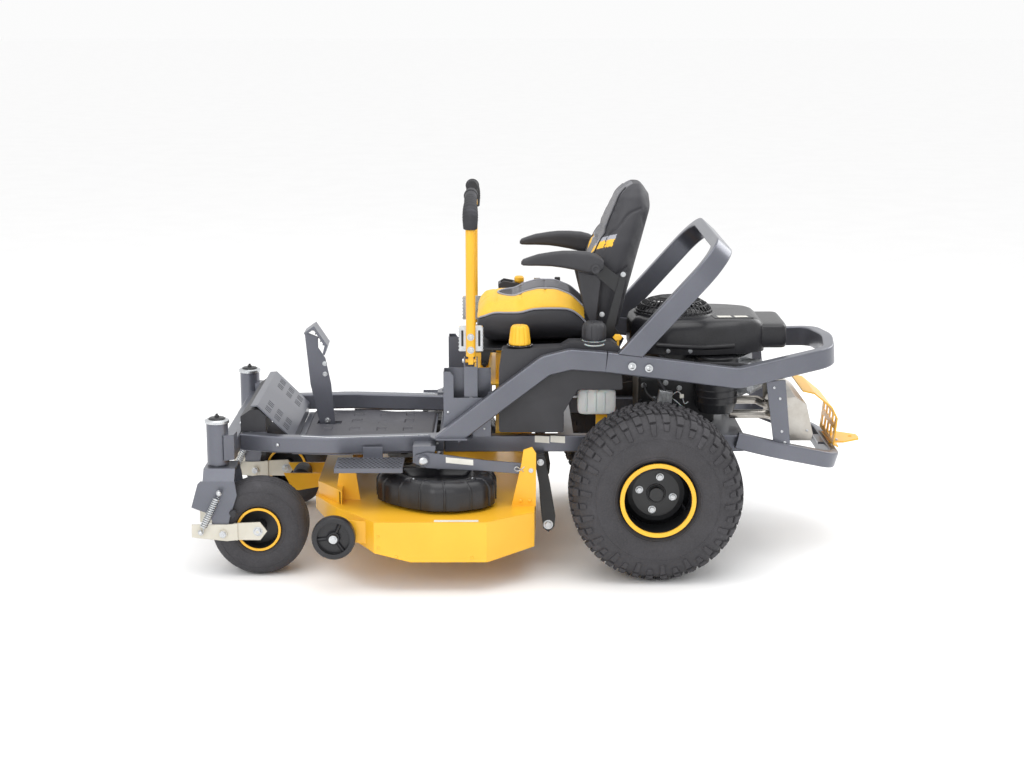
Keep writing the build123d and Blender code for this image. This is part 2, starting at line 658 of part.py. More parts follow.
with BuildPart() as seat_platform:
    base = block((-640, -250, 640), (-140, 250, 646))
    for y in (-200, 190):
        add(block((-560, y, 646), (-200, y + 10, 742)))
    add(base)
    hinge_ear = side_plate([(-616, 646), (-584, 646), (-584, 716), (-616, 716)], -209, -203)
    pin_room = rod((seat_hinge[0], -260, seat_hinge[1] + 4),
            (seat_hinge[0], 260, seat_hinge[1] + 4), 8 + running_gap)
    add(hinge_ear)
    mirror(hinge_ear, about=Plane.XZ)
    add(pin_room, mode=Mode.SUBTRACT)
    for y in (-286, 256):
        add(block((-560, y, 460), (-500, y + 30, 646)))
        add(block((-200, y, 466), (-160, y + 30, 646)))
    add(block((-640, -286, 640), (-140, 286, 646)))
keep("seat_platform", seat_platform.part)

cushion_side = [
    (-628, 800), (-638, 855), (-612, 905), (-540, 922), (-480, 932), (-410, 955), (-336, 958), (-285, 940),
    (-235, 893), (-190, 815), (-220, 772), (-560, 770),
]
with BuildPart() as seat_cushion:
    add(side_plate(cushion_side, -228, 228))
    chamfer(seat_cushion.faces().sort_by(Axis.Y)[0].edges(), length=22)
    chamfer(seat_cushion.faces().sort_by(Axis.Y)[-1].edges(), length=22)
keep("seat_cushion", seat_cushion.part)

back_side = [
    (-168, 840), (-150, 790), (-118, 800), (-80, 960), (-30, 1140), (2, 1256), (-2, 1310), (-28, 1348),
            (-64, 1362),
    (-104, 1334), (-140, 1262), (-164, 1200), (-206, 1140), (-240, 1076), (-252, 1000), (-240, 930),
            (-196, 880),
]
with BuildPart() as seat_back:
    add(side_plate(back_side, -228, 228))
    back_front = [(-232, 780), (-232, 1080), (-170, 1220), (-140, 1330), (-90, 1362), (90, 1362), (140, 1330),
                  (170, 1220), (232, 1080), (232, 780)]
    add(front_plate(back_front, -300, 100), mode=Mode.INTERSECT)
    chamfer(seat_back.edges().filter_by(Axis.Y).sort_by(Axis.Z)[-2:], length=10)
keep("seat_back", seat_back.part)

with BuildPart() as armrest:
    arm_side = [
        (-468, 1072), (-456, 1096), (-409, 1110), (-323, 1123), (-226, 1119), (-188, 1103),
                (-177, 1082), (-184, 1056),
        (-202, 1041), (-236, 1041), (-290, 1054), (-377, 1067),
    ]
    add(side_plate(arm_side, -292, -244))
    fillet(armrest.edges().filter_by(Axis.Y), radius=5)
    add(rod((arm_pivot_point[0], -300, arm_pivot_point[1]),
            (arm_pivot_point[0], -292, arm_pivot_point[1]), 14))
    bore_start = (arm_pivot_point[0], -263, arm_pivot_point[1])
    bore_end = (arm_pivot_point[0], -240, arm_pivot_point[1])
    pin_bore = rod(bore_start, bore_end, 10 + running_gap)
    add(pin_bore, mode=Mode.SUBTRACT)
keep_pair("armrest", armrest.part)

# ---- engine, drive and exhaust
with BuildPart() as engine_block:
    add(block((-40, -150, 468), (240, 150, 640), 12))
    add(turned_up([(0, 630), (128, 630), (128, 724), (0, 724)], (crank_x, 0)))
    for side in (-1, 1):
        with BuildSketch(Plane(origin=(150, side * 50, 650), z_dir=(0.86, side * 0.51, 0))):
            RectangleRounded(146, 146, 20)
        extrude(amount=172)
        add(turned_up([(0, 524), (62, 524), (76, 560), (76, 728), (0, 728)], (240, side * 190)))
    add(rod((crank_x, 0, 464), (crank_x, 0, 469), 60))
    add(rod((crank_x, 0, 400), (crank_x, 0, 520), 14 + running_gap), mode=Mode.SUBTRACT)
keep("engine_block", engine_block.part)

with BuildPart() as cylinder_heads:
    for side in (-1, 1):
        along = Vector(0.86, side * 0.51, 0)
        foot = Vector(150, side * 50, 650) + along * 173
        for fin in range(4):
            with BuildSketch(Plane(origin=foot + along * (fin * 14), z_dir=along)):
                RectangleRounded(150, 146, 12)
            extrude(amount=8)
        with BuildSketch(Plane(origin=foot, z_dir=along)):
            RectangleRounded(112, 112, 14)
        extrude(amount=84)
    add(engine_block.part, mode=Mode.SUBTRACT)
keep("cylinder_heads", cylinder_heads.part)

with BuildPart() as engine_shroud:
    hood_plan = [
        (-70, -110), (-20, -190), (60, -222), (200, -226), (330, -200), (420, -150), (420, 150), (330, 200),
        (200, 226), (60, 222), (-20, 190), (-70, 110),
    ]
    add(plan_plate(hood_plan, 736, 856))
    chamfer(engine_shroud.faces().sort_by(Axis.Z)[-1].edges(), length=26)
    with Locations((crank_x, 0, 850)):
        Cylinder(134, 60, mode=Mode.SUBTRACT)
    add(plan_plate([(x * 0.96 + 6, y * 0.96) for x, y in hood_plan], 730, 812), mode=Mode.SUBTRACT)
    add(turned_up([(128, 842), (137, 842), (142, 857), (142, 866), (118, 900), (80, 912), (0, 916),
            (0, 910), (78, 906),
                   (112, 894), (128, 860)], (crank_x, 0)))
    with Locations((crank_x, 0, 905)):
        with PolarLocations(92, 24):
            Box(46, 7, 40, mode=Mode.SUBTRACT)
    add(block((418, -150, 742), (500, 150, 834), 12))
keep("engine_shroud", engine_shroud.part)

with BuildPart() as exhaust:
    with Locations((520, 0, 478)):
        Cylinder(52, 330, rotation=(90, 0, 0))
    for side in (-1, 1):
        start = (300, side * 120, 496)
        pipe = [start, (430, side * 120, 496), (460, side * 100, 484), (520, side * 100, 480)]
        add(bent_rod(pipe, 30, 16))
    shell = [(462, 566), (530, 574), (570, 546), (596, 436), (590, 412)]
    add(folded_sheet(shell, 3, -190, 190))
    for side in (-1, 1):
        low, high = sorted((side * 189, side * 192))
        add(side_plate(shell + [(470, 412)], low, high))
keep("exhaust", exhaust.part)

with BuildPart() as tow_guard:
    add(folded_sheet([(562, 588), (606, 578), (672, 524), (692, 484), (682, 386), (700, 378)], 5, -150, 150))
    for y in (-96, -32, 32, 96):
        for z in (420, 478):
            with Locations((694, y, z)):
                Box(60, 42, 38, mode=Mode.SUBTRACT)
    tongue = plan_plate([(676, -80), (730, -80), (796, -34), (800, 0), (796, 34), (730, 80),
            (676, 80)], 375.5, 381.5)
    add(tongue)
    with Locations((768, 0, 378)):
        Cylinder(8, 30, mode=Mode.SUBTRACT)
keep("tow_guard", tow_guard.part)

with BuildPart() as engine_pulley:
    add(turned_up([(0, 330), (14, 330), (14, 520), (0, 520)], (crank_x, 0)))
    add(turned_up([(0, 345), (78, 345), (78, 350), (66, 358), (78, 366), (78, 390), (0, 390)], (crank_x, 0)))
keep("engine_pulley", engine_pulley.part)

with BuildPart() as transaxles:
    gearbox = block((-110, -318, 222), (90, -170, 322), 12)
    drum = rod((0, -318.5, drive_radius), (0, -200, drive_radius), 46)
    add(gearbox)
    add(drum)
    with Locations((-60, -240, 350)):
        Cylinder(50, 70)
    add(rod((0, -340, drive_radius), (0, -280, drive_radius), 16 + running_gap), mode=Mode.SUBTRACT)
    mirror(transaxles.part, about=Plane.XZ)
keep("transaxles", transaxles.part)

# ---- the origin goes to the middle of the whole machine's base, and every piece is written
boxes = [shape.bounding_box() for shape in pieces.values()]
middle_x = (min(box.min.X for box in boxes) + max(box.max.X for box in boxes)) / 2
middle_y = (min(box.min.Y for box in boxes) + max(box.max.Y for box in boxes)) / 2
lowest_z = min(box.min.Z for box in boxes)
to_origin = Location((-middle_x, -middle_y, -lowest_z))
print("moved by", -middle_x, -middle_y, -lowest_z)

os.makedirs("parts", exist_ok=True)
for name, shape in pieces.items():
    placed = shape.moved(to_origin)
    placed.label = name
    export_step(placed, f"parts/{name}.step")
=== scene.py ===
import json
import math
import bpy
import bmesh
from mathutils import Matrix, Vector
from mathutils.bvhtree import BVHTree


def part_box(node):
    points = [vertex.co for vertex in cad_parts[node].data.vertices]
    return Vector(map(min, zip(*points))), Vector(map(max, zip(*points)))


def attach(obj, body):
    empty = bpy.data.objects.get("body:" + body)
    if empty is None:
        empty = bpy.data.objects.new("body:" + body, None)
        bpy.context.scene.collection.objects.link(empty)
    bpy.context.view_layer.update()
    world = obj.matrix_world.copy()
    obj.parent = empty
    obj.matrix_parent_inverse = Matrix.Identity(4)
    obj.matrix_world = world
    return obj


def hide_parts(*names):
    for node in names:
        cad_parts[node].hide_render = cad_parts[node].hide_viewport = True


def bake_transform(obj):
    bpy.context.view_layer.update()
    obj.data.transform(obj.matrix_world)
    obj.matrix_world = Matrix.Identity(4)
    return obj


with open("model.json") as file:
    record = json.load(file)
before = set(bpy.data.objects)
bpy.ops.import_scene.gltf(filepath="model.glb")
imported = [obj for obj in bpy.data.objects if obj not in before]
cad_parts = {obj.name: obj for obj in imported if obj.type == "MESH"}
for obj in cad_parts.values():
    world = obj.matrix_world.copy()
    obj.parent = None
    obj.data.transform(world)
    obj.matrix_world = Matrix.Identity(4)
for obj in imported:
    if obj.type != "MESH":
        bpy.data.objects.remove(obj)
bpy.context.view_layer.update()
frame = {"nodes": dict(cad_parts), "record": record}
nodes = frame["nodes"]
print("frame loaded with", len(nodes), "parts")

# The drive wheels give the machine's own origin: under the rear axle, midway between the tyres.
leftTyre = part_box("drive_tyre_left")
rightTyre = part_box("drive_tyre_right")
axleX = (leftTyre[0].x + leftTyre[1].x) / 2
middleY = (leftTyre[0].y + rightTyre[1].y) / 2


def at(x, y, z):  # machine millimetres to the frame's metres
    return Vector((axleX + x / 1000, middleY + y / 1000, z / 1000))


def toLinear(hexColour):  # sRGB hex to the renderer's linear colour
    parts = [int(hexColour[i:i + 2], 16) / 255 for i in (1, 3, 5)]
    return tuple(c / 12.92 if c <= 0.04045 else ((c + 0.055) / 1.055) ** 2.4 for c in parts) + (1,)


def addNode(tree, kind, settings=None, links=None):  # one node, with its settings and what feeds it
    node = tree.nodes.new(kind)
    for key, value in (settings or {}).items():
        if key == "stops":  # colour stops as (place, colour)
            elements = node.color_ramp.elements
            while len(elements) < len(value):
                elements.new(0.5)
            for element, (position, shade) in zip(elements, value):
                element.position = position
                element.color = toLinear(shade)
        elif isinstance(key, int) or key in node.inputs:
            node.inputs[key].default_value = value
        else:
            setattr(node, key, value)
    for socket, source in (links or {}).items():
        tree.links.new(source, node.inputs[socket])
    return node


def startMaterial(name):
    material = bpy.data.materials.new(name)
    material.use_nodes = True
    tree = material.node_tree
    tree.nodes.clear()
    place = addNode(tree, "ShaderNodeTexCoord").outputs["Object"]
    return material, tree, place


# pattern swings the roughness between the two gloss values
def closeMaterial(tree, colour, pattern, normal, look):
    duller = addNode(tree, "ShaderNodeMapRange", {"From Min": 0.3, "From Max": 0.7,
                                                  "To Min": look["gloss"][0], "To Max": look["gloss"][1]},
                     {"Value": pattern})
    shader = addNode(tree, "ShaderNodeBsdfPrincipled", look.get("shader", {}),
                     {"Base Color": colour, "Roughness": duller.outputs["Result"], "Normal": normal})
    addNode(tree, "ShaderNodeOutputMaterial", links={"Surface": shader.outputs["BSDF"]})


# Powder coat is melted dust: a soft orange peel a few millimetres across and slightly uneven gloss.
def powderCoat(name, look):
    material, tree, place = startMaterial(name)
    patches = addNode(tree, "ShaderNodeTexNoise", {"Scale": 1000 / look["patchMm"], "Detail": 5.0},
                      {"Vector": place})
    peel = addNode(tree, "ShaderNodeTexNoise", {"Scale": 1000 / look["peelMm"], "Detail": 2.0},
                   {"Vector": place})
    flake = addNode(tree, "ShaderNodeTexVoronoi", {"Scale": 1000 / look["flakeMm"]}, {"Vector": place})
    stops = [(0.3, look["shade"]), (0.7, look["colour"])]
    tone = addNode(tree, "ShaderNodeValToRGB", {"stops": stops},
                   {"Fac": patches.outputs["Fac"]}).outputs["Color"]
    # the flake cells are painted glints: random lighter and darker flecks overlaid on the colour, standing in
    # for flakes catching the light
    flakeGlint = addNode(tree, "ShaderNodeMix", {"data_type": "RGBA", "blend_type": "OVERLAY",
                                              0: look["flakeGlint"]},
                      {6: tone, 7: flake.outputs["Color"]})
    rounded = addNode(tree, "ShaderNodeBevel", {"samples": 4, "Radius": look["edgeMm"] / 1000})
    bump = addNode(tree, "ShaderNodeBump", {"Strength": look["bump"], "Distance": 0.0004},
                   {"Height": peel.outputs["Fac"], "Normal": rounded.outputs["Normal"]})
    closeMaterial(tree, flakeGlint.outputs[2], patches.outputs["Fac"], bump.outputs["Normal"], look)
    return material


# Moulded plastic keeps the spark-eroded grain of its tool: fine pits, and a faint flow mottling.
def mouldedPlastic(name, look):
    material, tree, place = startMaterial(name)
    flow = addNode(tree, "ShaderNodeTexNoise", {"Scale": 1000 / look["flowMm"], "Detail": 3.0,
                                                "Distortion": 0.6}, {"Vector": place})
    grain = addNode(tree, "ShaderNodeTexNoise", {"Scale": 1000 / look["grainMm"], "Detail": 2.0},
                    {"Vector": place})
    stops = [(0.3, look["shade"]), (0.7, look["colour"])]
    tone = addNode(tree, "ShaderNodeValToRGB", {"stops": stops},
                   {"Fac": flow.outputs["Fac"]}).outputs["Color"]
    rounded = addNode(tree, "ShaderNodeBevel", {"samples": 4, "Radius": look["edgeMm"] / 1000})
    bump = addNode(tree, "ShaderNodeBump", {"Strength": look["bump"], "Distance": 0.0005},
                   {"Height": grain.outputs["Fac"], "Normal": rounded.outputs["Normal"]})
    closeMaterial(tree, tone, grain.outputs["Fac"], bump.outputs["Normal"], look)
    return material


# Vulcanised rubber: dull carbon black, with mould bloom in grey patches and dust that settles in the pits.
def vulcanisedRubber(name, look):
    material, tree, place = startMaterial(name)
    bloom = addNode(tree, "ShaderNodeTexNoise", {"Scale": 1000 / look["bloomMm"], "Detail": 6.0,
                                                 "Roughness": 0.6}, {"Vector": place})
    pits = addNode(tree, "ShaderNodeTexVoronoi", {"Scale": 1000 / look["pitMm"], "feature": "SMOOTH_F1"},
                   {"Vector": place})
    skin = addNode(tree, "ShaderNodeTexNoise", {"Scale": 1000 / look["pitMm"] * 0.7, "Detail": 4.0},
                   {"Vector": place})
    stops = [(0.35, look["shade"]), (0.6, look["colour"]), (0.8, look["dust"])]
    tone = addNode(tree, "ShaderNodeValToRGB", {"stops": stops},
                   {"Fac": bloom.outputs["Fac"]}).outputs["Color"]
    share = {"From Min": 0.3, "From Max": 0.7, "To Max": look["dustShare"]}
    settled = addNode(tree, "ShaderNodeMapRange", share, {"Value": skin.outputs["Fac"]})
    dusty = addNode(tree, "ShaderNodeMix", {"data_type": "RGBA", 7: toLinear(look["dust"])},
                    {0: settled.outputs["Result"], 6: tone})
    deep = addNode(tree, "ShaderNodeBump", {"Strength": look["bump"], "Distance": 0.0007},
                   {"Height": pits.outputs["Distance"]})
    fine = addNode(tree, "ShaderNodeBump", {"Strength": look["bump"] * 0.6, "Distance": 0.0004},
                   {"Height": skin.outputs["Fac"], "Normal": deep.outputs["Normal"]})
    closeMaterial(tree, dusty.outputs[2], bloom.outputs["Fac"], fine.outputs["Normal"], look)
    return material


# Bare or plated metal: bright, with smears of handling, drawn scratches and a little dulling in patches.
def bareMetal(name, look):
    material, tree, place = startMaterial(name)
    stretch = addNode(tree, "ShaderNodeMapping", {"Scale": look["grainDirection"]}, {"Vector": place})
    lines = addNode(tree, "ShaderNodeTexNoise", {"Scale": 1000 / look["grainMm"], "Detail": 3.0},
                    {"Vector": stretch.outputs["Vector"]})
    stains = addNode(tree, "ShaderNodeTexNoise", {"Scale": 1000 / look["stainMm"], "Detail": 6.0,
                                                  "Roughness": 0.65}, {"Vector": place})
    tone = addNode(tree, "ShaderNodeValToRGB", {"stops": [(0.3, look["shade"]), (0.65, look["colour"])]},
                   {"Fac": stains.outputs["Fac"]}).outputs["Color"]
    rounded = addNode(tree, "ShaderNodeBevel", {"samples": 4, "Radius": look["edgeMm"] / 1000})
    bump = addNode(tree, "ShaderNodeBump", {"Strength": look["bump"], "Distance": 0.0003},
                   {"Height": lines.outputs["Fac"], "Normal": rounded.outputs["Normal"]})
    closeMaterial(tree, tone, stains.outputs["Fac"], bump.outputs["Normal"], look)
    return material


# Coated seat vinyl is embossed like hide: rounded cells about 3 mm across, with painted shade darkening the
# creases between them.
def seatVinyl(name, look):
    material, tree, place = startMaterial(name)
    warp = addNode(tree, "ShaderNodeTexNoise", {"Scale": 90.0, "Detail": 2.0}, {"Vector": place})
    bent = addNode(tree, "ShaderNodeMix", {"data_type": "VECTOR", 0: 0.012},
                   {4: place, 5: warp.outputs["Color"]})
    cells = addNode(tree, "ShaderNodeTexVoronoi", {"Scale": 1000 / look["cellMm"],
                                                   "feature": "DISTANCE_TO_EDGE"},
                    {"Vector": bent.outputs[1]})
    wear = addNode(tree, "ShaderNodeTexNoise", {"Scale": 1000 / look["wearMm"], "Detail": 4.0},
                   {"Vector": place})
    crease = addNode(tree, "ShaderNodeMapRange", {"From Max": 0.18, "To Min": 0.0, "To Max": 1.0},
                     {"Value": cells.outputs["Distance"]})
    stops = [(0.3, look["shade"]), (0.7, look["colour"])]
    tone = addNode(tree, "ShaderNodeValToRGB", {"stops": stops},
                   {"Fac": wear.outputs["Fac"]}).outputs["Color"]
    # the crease colour is painted shade, mixed up to a quarter strength into the creases between the cells
    share = {"From Min": 0.3, "From Max": 0.7, "To Min": 0.75}
    creaseShadeShare = addNode(tree, "ShaderNodeMapRange", share, {"Value": crease.outputs["Result"]})
    creaseShaded = addNode(tree, "ShaderNodeMix", {"data_type": "RGBA", 6: toLinear(look["crease"])},
                      {0: creaseShadeShare.outputs["Result"], 7: tone})
    bump = addNode(tree, "ShaderNodeBump", {"Strength": look["bump"], "Distance": 0.0006},
                   {"Height": crease.outputs["Result"]})
    closeMaterial(tree, creaseShaded.outputs[2], wear.outputs["Fac"], bump.outputs["Normal"], look)
    return material


# Woven polyester seat cloth: two sets of yarn crossing, drawn about twice as coarse as real so that it shows;
# the weave's hollows are painted darker as shade and its raised crossings lighter.
def wovenPolyester(name, look):
    material, tree, place = startMaterial(name)
    turned = addNode(tree, "ShaderNodeMapping", {"Rotation": (0.0, 0.6, 0.0)}, {"Vector": place})
    split = addNode(tree, "ShaderNodeSeparateXYZ", links={"Vector": turned.outputs["Vector"]})
    yarns = []
    for axis in ("X", "Y"):
        wide = addNode(tree, "ShaderNodeMath", {"operation": "MULTIPLY", 1: 6283.0 / look["yarnMm"]},
                       {0: split.outputs[axis]})
        yarns.append(addNode(tree, "ShaderNodeMath", {"operation": "SINE"}, {0: wide.outputs[0]}).outputs[0])
    cross = addNode(tree, "ShaderNodeMath", {"operation": "MULTIPLY"}, {0: yarns[0], 1: yarns[1]})
    height = addNode(tree, "ShaderNodeMapRange", {"From Min": -1.0}, {"Value": cross.outputs[0]})
    fleck = addNode(tree, "ShaderNodeTexNoise", {"Scale": 900.0, "Detail": 2.0}, {"Vector": place})
    # painted shade and light: the colour follows the weave's height, darker in the hollows, lighter on the
    # raised crossings
    tone = addNode(tree, "ShaderNodeValToRGB", {"stops": [(0.1, look["shade"]), (0.9, look["colour"])]},
                   {"Fac": height.outputs["Result"]}).outputs["Color"]
    flecked = addNode(tree, "ShaderNodeMix", {"data_type": "RGBA", "blend_type": "SOFT_LIGHT", 0: 0.5},
                      {6: tone, 7: fleck.outputs["Color"]})
    bump = addNode(tree, "ShaderNodeBump", {"Strength": look["bump"], "Distance": 0.0007},
                   {"Height": height.outputs["Result"]})
    closeMaterial(tree, flecked.outputs[2], fleck.outputs["Fac"], bump.outputs["Normal"], look)
    return material


charcoalCoat = powderCoat("powder coated steel, charcoal metallic", {
    "colour": "#6E7079", "shade": "#62646D", "patchMm": 240, "peelMm": 3.5, "flakeMm": 1.2, "flakeGlint": 0.1,
    "edgeMm": 2.5,
    "bump": 0.12, "gloss": (0.3, 0.4), "shader": {"Metallic": 0.55, "Coat Weight": 0.25,
                                                  "Coat Roughness": 0.2}})
yellowCoat = powderCoat("powder coated steel, yellow", {
    "colour": "#FBC233", "shade": "#F3B427", "patchMm": 300, "peelMm": 4.0, "flakeMm": 1.5, "flakeGlint": 0.02,
    "edgeMm": 2.5,
    "bump": 0.15, "gloss": (0.32, 0.42), "shader": {"Coat Weight": 0.2, "Coat Roughness": 0.15}})
blackCoat = powderCoat("powder coated steel, black", {
    "colour": "#232427", "shade": "#191A1C", "patchMm": 150, "peelMm": 3.0, "flakeMm": 1.2, "flakeGlint": 0.06,
    "edgeMm": 1.5,
    "bump": 0.15, "gloss": (0.32, 0.5), "shader": {"Coat Weight": 0.15, "Coat Roughness": 0.25}})
paleCoat = powderCoat("powder coated steel, warm grey", {
    "colour": "#D6D2C6", "shade": "#C7C2B4", "patchMm": 90, "peelMm": 3.0, "flakeMm": 1.0, "flakeGlint": 0.06,
    "edgeMm": 1.5,
    "bump": 0.12, "gloss": (0.35, 0.5), "shader": {"Metallic": 0.25}})
blackPlastic = mouldedPlastic("moulded polypropylene, black", {
    "colour": "#3A3A3E", "shade": "#2C2C30", "flowMm": 180, "grainMm": 1.6, "edgeMm": 3.0, "bump": 0.35,
    "gloss": (0.42, 0.6)})
glossPlastic = mouldedPlastic("moulded nylon, black", {
    "colour": "#26262A", "shade": "#1B1B1E", "flowMm": 90, "grainMm": 2.0, "edgeMm": 2.5, "bump": 0.15,
    "gloss": (0.25, 0.4)})
yellowPlastic = mouldedPlastic("moulded ABS, yellow", {
    "colour": "#F9C233", "shade": "#F0B226", "flowMm": 120, "grainMm": 2.2, "edgeMm": 2.0, "bump": 0.12,
    "gloss": (0.3, 0.42)})
tankPlastic = mouldedPlastic("rotomoulded polyethylene, natural", {
    "colour": "#D9DAD8", "shade": "#B9BBBB", "flowMm": 110, "grainMm": 5.0, "edgeMm": 6.0, "bump": 0.2,
    "gloss": (0.4, 0.55),
    "shader": {"Subsurface Weight": 0.25, "Subsurface Scale": 0.02}})
tyreRubber = vulcanisedRubber("vulcanised tyre rubber", {
    "colour": "#3A393C", "shade": "#2B2A2D", "dust": "#57555A", "dustShare": 0.22, "bloomMm": 120,
    "pitMm": 4.0, "bump": 0.3,
    "gloss": (0.62, 0.8)})
softRubber = vulcanisedRubber("moulded nitrile rubber", {
    "colour": "#2F2F33", "shade": "#222225", "dust": "#47474D", "dustShare": 0.12, "bloomMm": 60,
    "pitMm": 2.0, "bump": 0.3,
    "gloss": (0.55, 0.75)})
matRubber = vulcanisedRubber("moulded foot mat rubber", {
    "colour": "#4A4A50", "shade": "#3C3C41", "dust": "#66666C", "dustShare": 0.25, "bloomMm": 140,
    "pitMm": 3.5, "bump": 0.4,
    "gloss": (0.45, 0.65)})
# each vinyl's crease colour is the painted shade laid into its creases
blackVinyl = seatVinyl("embossed seat vinyl, black", {
    "colour": "#38383D", "shade": "#2D2D32", "crease": "#1C1C1F", "cellMm": 3.2, "wearMm": 160, "bump": 0.35,
    "gloss": (0.45, 0.6)})
yellowVinyl = seatVinyl("embossed seat vinyl, yellow", {
    "colour": "#FBC83F", "shade": "#F4BC30", "crease": "#C98F17", "cellMm": 3.2, "wearMm": 160, "bump": 0.3,
    "gloss": (0.42, 0.55)})
paleVinyl = seatVinyl("embossed seat vinyl, light grey", {
    "colour": "#A9AAB2", "shade": "#9A9BA4", "crease": "#6D6E75", "cellMm": 2.4, "wearMm": 80, "bump": 0.3,
    "gloss": (0.45, 0.6)})
# here the shade colour is the painted shade of the weave's hollows
greyCloth = wovenPolyester("woven polyester, graphite", {
    "colour": "#5E5E66", "shade": "#3A3A40", "yarnMm": 3.0, "bump": 0.6, "gloss": (0.8, 0.95),
    "shader": {"Sheen Weight": 0.3}})
zincPlate = bareMetal("zinc plated steel", {
    "colour": "#D2D4D6", "shade": "#BDC0C3", "grainMm": 1.2, "grainDirection": (1.0, 1.0, 1.0),
    "stainMm": 18, "edgeMm": 0.8, "bump": 0.05,
    "gloss": (0.24, 0.36), "shader": {"Metallic": 0.95}})
aluminisedSheet = bareMetal("rolled aluminised steel sheet", {
    "colour": "#CFCBC4", "shade": "#B4AEA5", "grainMm": 2.0, "grainDirection": (1.0, 12.0, 12.0),
    "stainMm": 70, "edgeMm": 1.2, "bump": 0.12,
    "gloss": (0.26, 0.42), "shader": {"Metallic": 0.9}})
castAluminium = bareMetal("die cast aluminium", {
    "colour": "#B6B8BA", "shade": "#85878B", "grainMm": 1.5, "grainDirection": (1.0, 1.0, 1.0),
    "stainMm": 25, "edgeMm": 1.5, "bump": 0.5,
    "gloss": (0.38, 0.6), "shader": {"Metallic": 0.85}})
groundSteel = bareMetal("ground spring steel", {
    "colour": "#A9A8A6", "shade": "#6B6864", "grainMm": 1.0, "grainDirection": (1.0, 14.0, 14.0),
    "stainMm": 30, "edgeMm": 0.8, "bump": 0.4,
    "gloss": (0.28, 0.5), "shader": {"Metallic": 0.95}})
blankLabel = mouldedPlastic("printed vinyl film, cream", {
    "colour": "#EFEDE4", "shade": "#E2DFD4", "flowMm": 30, "grainMm": 1.5, "edgeMm": 0.3, "bump": 0.08,
    "gloss": (0.3, 0.4)})
print("materials made:", len(bpy.data.materials))

slotLooks = {
    "charcoal_paint": charcoalCoat, "yellow_paint": yellowCoat, "black_paint": blackCoat,
    "cream_paint": paleCoat,
    "black_plastic": blackPlastic, "yellow_plastic": yellowPlastic, "tank_plastic": tankPlastic,
    "tyre_rubber": tyreRubber,
    "soft_rubber": softRubber, "seat_vinyl": blackVinyl, "zinc_steel": zincPlate, "blade_steel": groundSteel,
    "cast_aluminium": castAluminium,
}
ownLooks = {"exhaust": aluminisedSheet, "foot_mat": matRubber, "transaxles": castAluminium,
            "height_dial": yellowPlastic}
for entry in frame["record"]["subparts"]:
    skins = nodes[entry["node"]].data.materials
    skins.clear()
    skins.append(ownLooks.get(entry["node"], slotLooks[entry["material_slot"]]))
print("carried-over parts finished")

# Mesh helpers: every piece is written in machine millimetres and lands in the frame in metres
def newPiece(name, shape, material, body, replaced=(), smoothAngle=35):  # shape is (vertices, faces)
    mesh = bpy.data.meshes.new(name)
    mesh.from_pydata([at(*v) for v in shape[0]], [], shape[1])
    mesh.update()
    build = bmesh.new()
    build.from_mesh(mesh)
    bmesh.ops.remove_doubles(build, verts=build.verts, dist=0.00002)
    bmesh.ops.recalc_face_normals(build, faces=build.faces)
    build.to_mesh(mesh)
    build.free()
    mesh.materials.append(material)
    for polygon in mesh.polygons:
        polygon.use_smooth = True
    mesh.set_sharp_from_angle(angle=math.radians(smoothAngle))
    piece = bpy.data.objects.new(name, mesh)
    bpy.context.collection.objects.link(piece)
    if body:
        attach(piece, body)
    if replaced:
        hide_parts(*replaced)
    return piece


def joined(parts):  # several (vertices, faces) lists as one
    vertices, faces = [], []
    for partVertices, partFaces in parts:
        start = len(vertices)
        vertices.extend(partVertices)
        faces.extend([tuple(i + start for i in face) for face in partFaces])
    return vertices, faces


# walls between rings of points; closed joins the last ring to the first
def skin(rings, closed=False, caps=True):
    count = len(rings[0])
    vertices = [point for ring in rings for point in ring]
    faces = []
    last = len(rings) if closed else len(rings) - 1
    for i in range(last):
        a, b = i * count, ((i + 1) % len(rings)) * count
        for j in range(count):
            k = (j + 1) % count
            faces.append((a + j, a + k, b + k, b + j))
    if caps and not closed:
        faces.append(tuple(range(count - 1, -1, -1)))
        faces.append(tuple(range((len(rings) - 1) * count, len(rings) * count)))
    return vertices, faces


def turnedOnY(profile, centre, steps=96):  # (radius, y) profile about a crosswise axle through centre (x, z)
    rings = []
    for i in range(steps):
        a = 2 * math.pi * i / steps
        rings.append([(centre[0] + r * math.sin(a), y, centre[1] + r * math.cos(a)) for r, y in profile])
    return skin(rings, closed=True)


def turnedUp(profile, centre, steps=64):  # (radius, z) profile about an upright axis through centre (x, y)
    rings = []
    for i in range(steps):
        a = 2 * math.pi * i / steps
        rings.append([(centre[0] + r * math.cos(a), centre[1] + r * math.sin(a), z) for r, z in profile])
    return skin(rings, closed=True)


def smoothLine(points, steps=8):  # a Catmull-Rom curve through the points
    line = []
    ends = [points[0]] + list(points) + [points[-1]]
    for i in range(1, len(ends) - 2):
        p0, p1, p2, p3 = (Vector(ends[i + k]) for k in (-1, 0, 1, 2))
        for s in range(steps):
            t = s / steps
            line.append(0.5 * ((2 * p1) + (p2 - p0) * t + (2 * p0 - 5 * p1 + 4 * p2 - p3) * t * t
                               + (3 * p1 - p0 - 3 * p2 + p3) * t ** 3))
    line.append(Vector(points[-1]))
    return line


